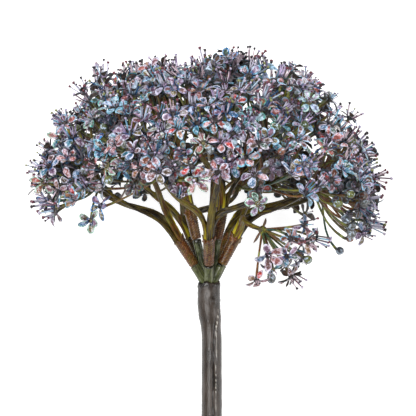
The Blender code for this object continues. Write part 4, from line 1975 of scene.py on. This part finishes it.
@dataclass
class Nursery:
    """The small shapes and the trees that grow them. The shapes' sizes are in millimetres."""

    petal_base: float = 0.75
    petal_thickness: float = 0.28
    petal_tip: float = 0.17
    petal_rows: Pairs = ((0.0, 0.34), (0.16, 0.5), (0.4, 0.86), (0.66, 1.0), (0.87, 0.72))
    pins: Triples = ((5.0, 0.4, 0.54), (5.8, -0.3, 0.6), (4.3, 0.7, 0.5), (6.2, 0.1, 0.58))
    pin_radius: float = 0.27
    pin_ring: float = 1.15
    button_domes: tuple[float, ...] = (0.55, 0.2)
    button_sides: int = 9
    bud_stretches: tuple[float, ...] = (1.0, 1.2)
    bud_radius: float = 2.0
    bud_sides: int = 15
    bud_rows: int = 8
    bracts: Triples = ((6.5, 2.4, 1.2), (4.5, 1.8, -0.8), (8.0, 2.0, 2.2))
    bract_base: float = 0.6
    bract_rows: Pairs = ((0.0, 0.35), (0.2, 0.75), (0.45, 1.0), (0.7, 0.7), (0.88, 0.36))
    shapes: dict[str, bpy.types.Collection] = field(default_factory=dict)
    whorl: Tree = field(default_factory=whorl_tree)
    sweep: Tree = field(default_factory=sweep_tree)

    def keep(self, kind: str, name: str, bm: bmesh.types.BMesh) -> Mesh:
        """Stores a finished shape under its kind.

        Args:
            kind: the collection's name.
            name: the shape's name.
            bm: its mesh, which is used up.

        Returns:
            The stored mesh.
        """
        if kind not in self.shapes:
            self.shapes[kind] = bpy.data.collections.new(kind)
            bpy.context.scene.collection.children.link(self.shapes[kind])
        bmesh.ops.recalc_face_normals(bm, faces=bm.faces)
        mesh = meshed(name, bm)
        self.shapes[kind].objects.link(bpy.data.objects.new(name, mesh))
        return mesh

    def mark_back(self, mesh: Mesh, rear: list[float]) -> None:
        """Tells the back of a petal from its face, and keeps the edge between them sharp.

        Args:
            mesh: the petal.
            rear: for each face, 1 if it is on the back.
        """
        set_numbers(mesh, "rear", rear, "FACE")
        sides: dict[tuple[int, int], set[float]] = {}
        for polygon, flag in zip(mesh.polygons, rear):
            for key in polygon.edge_keys:
                sides.setdefault(key, set()).add(flag)
        flags = [len(sides[tuple(sorted(edge.vertices))]) > 1 for edge in mesh.edges]
        sharp = mesh.attributes.new("sharp_edge", "BOOLEAN", "EDGE")
        sharp.data.foreach_set("value", flags)

    def petal(self, shape: PetalShape) -> None:
        """Models one petal, along +X with its face up.

        Args:
            shape: how it is bent.
        """
        bm = bmesh.new()
        edge = bm.verts.layers.float.new("edge")
        along = bm.verts.layers.float.new("along")

        def point(share: float, off: float, lift: float, inner: float) -> Vertex:
            """Adds a point of the petal.

            Args:
                share: how far out it is, from 0 at the foot to 1 at the tip.
                off: how far it is off the middle line.
                lift: how far it is above the middle of the petal's thickness.
                inner: how far it is from the petal's outline.

            Returns:
                The point.
            """
            place = (self.petal_base + shape.length * share, off, shape.height(share, off) + lift)
            vertex = bm.verts.new(Vector(place) * MM)
            vertex[edge] = inner
            vertex[along] = min(1.0, share)
            return vertex

        left, right, top, under = [], [], [], []
        for share, spread in self.petal_rows:
            half = shape.width / 2 * spread
            inner = min(half, shape.length * (1 - share) * 0.9)
            left.append(point(share, -half, 0, 0))
            right.append(point(share, half, 0, 0))
            top.append(point(share, 0, self.petal_thickness / 2, inner))
            under.append(point(share, 0, -self.petal_thickness / 2, inner))
        tip_left = point(1.0, -shape.width * self.petal_tip, 0, 0)
        tip_right = point(1.0, shape.width * self.petal_tip, 0, 0)
        middle = point(1.0 - 0.1 * shape.notch, 0, 0, 0)
        middle[along] = 1
        rear = []
        for row, flag in ((top, 0.0), (under, 1.0)):
            faces = []
            for i in range(len(row) - 1):
                faces.append((left[i], row[i], row[i + 1], left[i + 1]))
                faces.append((row[i], right[i], right[i + 1], row[i + 1]))
            faces.append((left[-1], row[-1], middle, tip_left))
            faces.append((row[-1], right[-1], tip_right, middle))
            faces.append((right[0], row[0], left[0]))
            for corners in faces:
                bm.faces.new(corners)
                rear.append(flag)
        self.mark_back(self.keep("petal_shapes", shape.name, bm), rear)

    def pin(self, name: str, length: float, bend: float, head: float) -> None:
        """Models one stamen, standing along +Z and bent towards +X.

        Args:
            name: its name.
            length: its length.
            bend: how far its tip leans over.
            head: the radius of its head.
        """
        loft = Loft("along")
        thin = self.pin_radius
        profile = ((0.0, thin), (0.45, thin), (0.86, thin * 0.95), (0.9, head * 0.8), (0.955, head))
        for share, reach in (*profile, (1.0, head * 0.6)):
            middle = Vector((self.pin_ring + bend * share**2, 0, length * share))
            turns = [turn + pi / 4 for turn in ring_turns(4)]
            places = [middle + Vector((cos(a), sin(a), 0)) * reach for a in turns]
            loft.ring(places, [share] * len(places))
        loft.lid(0)
        loft.lid(-1)
        self.keep("pin_shapes", name, loft.bm)

    def button(self, name: str, dome: float) -> None:
        """Models the round centre of a floret: a rim, a groove and a raised middle.

        Args:
            name: its name.
            dome: how high the middle stands.
        """
        loft = Loft("along")
        profile = ((-0.5, 0.7, 0.9), (0.1, 1.15, 0.9), (0.32, 0.95, 0.75), (0.12, 0.72, 0.0))
        turns = ring_turns(self.button_sides)
        for height, reach, tone in (*profile, (dome * 0.8, 0.5, 0.9)):
            places = [Vector((reach * cos(turn), reach * sin(turn), height)) for turn in turns]
            loft.ring(places, [tone] * len(places))
        loft.lid(0)
        loft.tip(-1, Vector((0, 0, dome)), 1.0)
        self.keep("button_shapes", name, loft.bm)

    def bud(self, name: str, stretch: float) -> None:
        """Models a closed bud with five seams, standing along +Z.

        Args:
            name: its name.
            stretch: its height against its width.
        """
        loft = Loft("edge")
        seams = [1.0 if j % 3 else 0.0 for j in range(self.bud_sides)]
        for i in range(1, self.bud_rows):
            polar = pi * i / self.bud_rows
            places = []
            for seam, turn in zip(seams, ring_turns(self.bud_sides)):
                reach = sin(polar) * (0.9 + 0.1 * seam)
                spot = (reach * cos(turn), reach * sin(turn), -stretch * cos(polar))
                places.append(Vector(spot) * self.bud_radius)
            loft.ring(places, seams)
        loft.tip(0, Vector((0, 0, -self.bud_radius * stretch)), 0.4)
        loft.tip(-1, Vector((0, 0, self.bud_radius * stretch)), 0.4)
        self.keep("bud_shapes", name, loft.bm)

    def bract(self, number: int, length: float, width: float, curl: float) -> None:
        """Models a small pointed leaf, along +X with its face up.

        Args:
            number: its number.
            length: its length.
            width: its greatest width.
            curl: how far its tip bends down.
        """
        loft = Loft("along")
        for share, spread in self.bract_rows:
            ridge = 0.3 * (1 - share * 0.5)
            places = []
            for off, lift in ((-0.5, 0.0), (0.0, -ridge), (0.5, 0.0), (0.0, ridge * 0.4)):
                rise = lift + abs(off) * 0.9 * spread - curl * share**2
                wave = 0.15 * sin(9 * share + number * 2) * abs(off)
                spot = (self.bract_base + length * share, off * width * spread, rise + wave)
                places.append(Vector(spot))
            loft.ring(places, [share * 0.6] * len(places))
        loft.tip(-1, Vector((self.bract_base + length, 0, -curl)), 0.0)
        loft.lid(0)
        self.keep("bract_shapes", f"bract_{number}", loft.bm)

    def fill(self) -> None:
        """Models every small shape."""
        for shape in PETAL_SHAPES:
            self.petal(shape)
        for number, sizes in enumerate(self.pins):
            self.pin(f"pin_{number}", *sizes)
        for number, dome in enumerate(self.button_domes):
            self.button(f"button_{number}", dome)
        for number, stretch in enumerate(self.bud_stretches):
            self.bud(f"bud_{number}", stretch)
        for number, sizes in enumerate(self.bracts):
            self.bract(number, *sizes)

    def ring(self, name: str, seeds: Mesh, whorl: Whorl, finish: Material, seed: int) -> Object:
        """Grows one whorl on each seed.

        Args:
            name: the new object's name.
            seeds: the seed mesh. It is used up.
            whorl: what grows.
            finish: its material.
            seed: the seed of its irregularities.

        Returns:
            The whorls as one object.
        """
        shapes = self.shapes[whorl.kind]
        values = {
            "Shapes": shapes, "Kinds": len(shapes.objects),
            "Fewest": whorl.fewest, "Most": whorl.most, "Turn Jitter": whorl.turn_jitter,
            "Lean Low": radians(whorl.leans[0]), "Lean High": radians(whorl.leans[1]),
            "Opening": whorl.opening, "Size": whorl.size, "Twist": whorl.twist,
            "Scale Low": whorl.scales[0], "Scale High": whorl.scales[1],
            "Seed": seed, "Finish": finish,
        }
        return grown(name, seeds, self.whorl, values)

    def stalks(self, name: str, lines: Mesh, finish: Material) -> Object:
        """Gives the lines a round body.

        Args:
            name: the new object's name.
            lines: the seed mesh. It is used up.
            finish: the material.

        Returns:
            The stalks as one object.
        """
        made = grown(name, lines, self.sweep, {"Sides": 6, "Steps": 2, "Finish": finish})
        made.data.shade_smooth()
        return made

    def clear(self) -> None:
        """Removes the shapes once everything has been grown."""
        for collection in self.shapes.values():
            for shape in list(collection.objects):
                bpy.data.objects.remove(shape)
            bpy.data.collections.remove(collection)


class Tint(Enum):
    """How a floret is painted: its chance, and its (warm, pale, wet) numbers."""

    DUSKY = (0.33, (0.0, 0.0, 0.0))
    WET = (0.18, (0.0, 0.0, 1.0))
    WARM = (0.29, (1.0, 0.0, 0.0))
    PALE = (0.2, (0.0, 1.0, 0.35))


class Opening(Enum):
    """How far a floret's petals stand forward: its chance, and its angle in degrees."""

    FLAT = (0.5, 2)
    RAISED = (0.2, 26)
    BENT_BACK = (0.3, -22)


def drawn(options: type[Enum], rng: Random) -> object:
    """Draws one of the options by their chances and returns what it stands for."""
    picked = rng.choices(list(options), [option.value[0] for option in options])[0]
    return picked.value[1]


@dataclass
class UmbelDress:
    """The petals, buds, stamens, buttons, rays and hub of one umbel."""

    name: str
    umbel: Umbel
    number: int
    floret_radius: float
    bud_radius: float
    hub_radius: float = 1.6 * MM
    hub_tone: float = 0.86
    calyx_length: float = 1.7 * MM
    bud_calyx: float = 1.4
    ray_girths: Pairs = ((0.0, 0.62), (0.12, 0.5), (0.35, 0.43), (0.6, 0.42), (0.8, 0.46), (0.9, 0.56))
    calyx_girths: Pairs = ((0.0, 0.62), (0.5, 0.85), (0.95, 1.15))
    bud_girths: Pairs = ((0.0, 0.62), (0.5, 0.85), (0.95, 0.9))
    bow: float = 1.6 * MM
    facing_jitter: float = 0.3
    averted: float = 0.18
    averted_jitter: float = 1.2
    fullness: float = 1.3
    size_spread: Pair = (0.84, 1.1)
    bud_fullness: float = 0.85
    splays: tuple[float, ...] = (-4, -9, -14, -24)
    short_tufts: float = 0.35
    short_tuft: float = 0.5
    filler_floor: float = 0.56
    low_filler_share: float = 0.12
    filler_share: float = 0.6
    filler_depth: Pair = (0.6, 0.9)
    filler_sizes: Pair = (0.78, 0.95)
    rng: Random = field(init=False)

    def is_bud(self, floret: Floret) -> bool:
        """Whether the floret is a closed bud."""
        return floret.radius == self.bud_radius

    def fillers(self) -> list[Floret]:
        """Smaller florets on shorter rays, which fill the umbel from within.

        Returns:
            The florets.
        """
        made = []
        hub = self.umbel.hub
        low = self.umbel.axis.y < self.filler_floor
        share = self.low_filler_share if low else self.filler_share
        for _ in range(round(len(self.umbel.florets) * share)):
            first, second = self.rng.sample(self.umbel.florets, 2)
            arm = first.centre.lerp(second.centre, self.rng.uniform(0.35, 0.65)) - hub
            arm.normalize()
            reach = (first.centre - hub).length * self.rng.uniform(*self.filler_depth)
            facing = (arm + anywhere(self.rng) * 0.6).normalized()
            radius = self.floret_radius * self.rng.uniform(*self.filler_sizes)
            made.append(Floret(hub + arm * reach, facing, radius, inner=True))
        return made

    def seeds(self, part: str, florets: list[Floret]) -> Mesh:
        """A mesh with one point for each floret, and what the whorls need to know about it.

        Args:
            part: the end of the mesh's name.
            florets: the florets.

        Returns:
            The seed mesh.
        """
        mesh = bpy.data.meshes.new(f"{self.name}_{part}")
        mesh.from_pydata([f.centre for f in florets], [], [])
        turns = []
        numbers: dict[str, list[float]] = {}
        for floret in florets:
            jitter = self.averted_jitter if self.rng.random() < self.averted else self.facing_jitter
            facing = (floret.facing + anywhere(self.rng) * jitter).normalized()
            turn = Vector((0, 0, 1)).rotation_difference(facing)
            turns += list(turn @ Quaternion((0, 0, 1), self.rng.uniform(0, FULL_TURN)))
            size = self.bud_fullness
            if not self.is_bud(floret):
                size = floret.radius / self.floret_radius * self.fullness
                size *= self.rng.uniform(*self.size_spread)
            # The inner number tells the paints where to lay painted shade.
            own = {"size": size, "inner": float(floret.inner)}
            own["opening"] = radians(drawn(Opening, self.rng))
            own["splay"] = radians(self.rng.choice(self.splays))
            own["flower"] = self.rng.random()
            short = own["flower"] * 7 % 1 < self.short_tufts
            own["tuft"] = size * (self.short_tuft if short else 1.0)
            own["warm"], own["pale"], own["wet"] = drawn(Tint, self.rng)
            for key, value in own.items():
                numbers.setdefault(key, []).append(value)
        facings = mesh.attributes.new("facing", "QUATERNION", "POINT")
        facings.data.foreach_set("value", turns)
        for key, values in numbers.items():
            set_numbers(mesh, key, values)
        return mesh

    def lines(self) -> Mesh:
        """A mesh with one bowed line for each ray, from the hub to under its floret.

        Returns:
            The seed mesh.
        """
        points, edges, girths, alongs, flowers = [], [], [], [], []
        for floret in self.umbel.florets:
            size = floret.radius / self.floret_radius
            bud = self.is_bud(floret)
            calyx = self.calyx_length * (self.bud_calyx if bud else max(size, 0.7))
            neck = floret.centre - floret.facing * calyx
            direction = (neck - self.umbel.hub).normalized()
            start = self.umbel.hub + direction * self.hub_radius * 0.4
            lean = floret.facing - direction * floret.facing.dot(direction)
            own = self.rng.random()
            sag = (anywhere(self.rng) * 0.5 - lean * 2.0) * self.bow
            first = len(points)
            for share, girth in self.ray_girths:
                bend = sag * sin(pi * share) * (0.4 + share)
                points.append(start.lerp(neck, share) + bend)
                girths.append(girth * MM * self.rng.uniform(0.92, 1.1))
                alongs.append(share * 0.9)
            for share, girth in self.bud_girths if bud else self.calyx_girths:
                points.append(neck.lerp(floret.centre, share))
                girths.append(girth * MM * (1 if bud else size))
                alongs.append(0.92 + share * 0.08)
            flowers += [own] * (len(points) - first)
            edges += [(i, i + 1) for i in range(first, len(points) - 1)]
        mesh = bpy.data.meshes.new(f"{self.name}_lines")
        mesh.from_pydata(points, edges, [])
        for key, values in {"girth": girths, "along": alongs, "flower": flowers}.items():
            set_numbers(mesh, key, values)
        return mesh

    def hub(self, finish: Material) -> Object:
        """The knobbly hub where the rays meet.

        Args:
            finish: its material.

        Returns:
            The hub.
        """
        bm = bmesh.new()
        bmesh.ops.create_icosphere(bm, subdivisions=3, radius=self.hub_radius)
        layer = bm.verts.layers.float.new("flower")
        for vertex in bm.verts:
            swell = 1 + 0.3 * noise(vertex.co * 900 + Vector((self.number, 0, 0)))
            vertex.co = self.umbel.hub + vertex.co * swell
            vertex[layer] = self.hub_tone
        mesh = meshed(f"{self.name}_hub", bm)
        mesh.materials.append(finish)
        return linked(mesh.name, mesh)

    def build(self, shop: Workshop, nursery: Nursery) -> None:
        """Grows the umbel's pieces and hands them in.

        Args:
            shop: where it is handed in.
            nursery: the small shapes and their trees.
        """
        self.rng = Random(500 + self.number)
        paints = shop.paints
        seed = self.number * 20
        self.umbel.florets += self.fillers()
        buds = [f for f in self.umbel.florets if self.is_bud(f)]
        seeds = self.seeds("seeds", [f for f in self.umbel.florets if not self.is_bud(f)])
        name = f"{self.name}_petals"
        flowers = [nursery.ring(name, seeds.copy(), PETALS, paints[Finish.PETAL], seed)]
        hearts = [
            nursery.ring(f"{self.name}_pins", seeds.copy(), STAMENS, paints[Finish.STAMEN], seed),
            nursery.ring(f"{self.name}_buttons", seeds, BUTTONS, paints[Finish.BUTTON], seed),
        ]
        if buds:
            seeds = self.seeds("bud_seeds", buds)
            flowers.append(nursery.ring(f"{self.name}_buds", seeds, BUDS, paints[Finish.BUD], seed))
        green = paints[Finish.RAY]
        stalks = [nursery.stalks(f"{self.name}_stalks", self.lines(), green), self.hub(green)]
        collar = Floret(self.umbel.hub, self.umbel.axis, self.floret_radius)
        seeds = self.seeds("collar_seeds", [collar])
        stalks.append(nursery.ring(f"{self.name}_bracts", seeds, BRACTS, green, seed))
        shop.hand_in(joined(name, flowers), (self.name,))
        shop.hand_in(joined(f"{self.name}_stamens", hearts))
        shop.hand_in(joined(f"{self.name}_rays", stalks))


@dataclass(frozen=True)
class Lamp:
    """A square soft light that points at the head, its place measured from the head's middle."""

    name: str
    place: Triple
    side: float
    watts: float

    def hang(self) -> None:
        """Hangs the lamp."""
        data = bpy.data.lights.new(self.name, "AREA")
        data.size = self.side
        data.energy = self.watts
        made = linked(self.name, data)
        made.location = self.place
        made.rotation_euler = (-Vector(self.place)).to_track_quat("-Z", "Y").to_euler()


@dataclass
class Studio:
    """The pale floor, the soft lights and the camera at the photograph's angle."""

    pose: Matrix
    aim: Triple = (-0.4 * MM, 30 * MM, 0.0)
    frame_width: float = 166.4 * MM
    distance: float = 2.0
    sensor: float = 36.0
    lamps: tuple[Lamp, ...] = (
        Lamp("key_light", (-0.7, -0.5, 1.5), 0.7, 20),
        Lamp("side_light", (1.3, -0.3, 0.9), 0.6, 9),
        Lamp("top_light", (0.0, 0.9, 1.4), 0.8, 10),
    )

    def floor(self) -> None:
        """Lays a plain pale floor."""
        bm = bmesh.new()
        bmesh.ops.create_grid(bm, x_segments=1, y_segments=1, size=4)
        paper = SkinGraph("floor_paper", 0.95, 0.1)
        paper.shader.inputs["Base Color"].default_value = (0.55, 0.55, 0.55, 1)
        paper.shader.inputs["Emission Color"].default_value = (1, 1, 1, 1)
        paper.shader.inputs["Emission Strength"].default_value = 0.85
        floor = linked("floor", meshed("floor", bm))
        floor.data.materials.append(paper.material)
        floor.visible_diffuse = False

    def camera(self) -> None:
        """Sets the camera square to the stem, on the viewer's side."""
        data = bpy.data.cameras.new("camera")
        data.sensor_width = self.sensor
        data.lens = self.sensor * self.distance / self.frame_width
        data.clip_end = 20
        made = linked("camera", data)
        aim = Vector(self.aim) + Vector((0, 0, self.distance))
        made.matrix_world = self.pose @ Matrix.Translation(aim)
        bpy.context.scene.camera = made

    def build(self) -> None:
        """Builds the floor, the lights and the camera."""
        self.floor()
        self.camera()
        for lamp in self.lamps:
            lamp.hang()
        world = bpy.data.worlds.new("studio")
        world.use_nodes = True
        background = world.node_tree.nodes["Background"]
        background.inputs["Color"].default_value = (1, 1, 1, 1)
        background.inputs["Strength"].default_value = 0.3
        bpy.context.scene.world = world
        bpy.context.scene.view_settings.view_transform = "Standard"


def branch_feet(spray: Spray, top: Vector) -> list[Vector]:
    """For each umbel, the direction in which its branch's foot is off the sleeve's axis.

    Args:
        spray: the spray.
        top: the middle of the sleeve's upper end.

    Returns:
        One unit vector for each umbel.
    """
    first, second = across(spray.direction)
    turns = []
    for umbel in spray.umbels:
        arm = umbel.hub - top
        turns.append(atan2(arm.dot(second), arm.dot(first)) % FULL_TURN)
    order = sorted(range(len(turns)), key=lambda i: turns[i])
    step = FULL_TURN / len(turns)
    east = sum(cos(turns[i] - step * place) for place, i in enumerate(order))
    north = sum(sin(turns[i] - step * place) for place, i in enumerate(order))
    start = atan2(north, east)
    feet = spokes(spray.direction, [start + step * place for place in range(len(turns))])
    return [feet[order.index(i)] for i in range(len(turns))]


def main() -> None:
    """Builds every sub-assembly in order."""
    logging.basicConfig(level=logging.INFO, format="%(message)s")
    plan = HeadPlan()
    sprays, tilt = plan.lay_out()
    pose = LyingPose(tilt, plan.stem_length, plan.stem_radius).matrix
    shop = Workshop(pose)
    Stem().build(shop)
    Crown(sprays).build(shop)
    nursery = Nursery()
    nursery.fill()
    count = 0
    for number, spray in enumerate(sprays, 1):
        sleeve = Sleeve(number, spray)
        sleeve.build(shop)
        top = sleeve.top()
        for letter, umbel, side in zip("abc", spray.umbels, branch_feet(spray, top)):
            count += 1
            name = f"spray_{number}_branch_{letter}"
            Branch(name, spray, top, umbel, side, count).build(shop)
            name = f"spray_{number}_umbel_{letter}"
            dress = UmbelDress(name, umbel, count, plan.floret_radius, plan.bud_radius)
            dress.build(shop, nursery)
    nursery.clear()
    Studio(pose).build()
    bpy.context.view_layer.update()


if __name__ == "__main__":
    main()
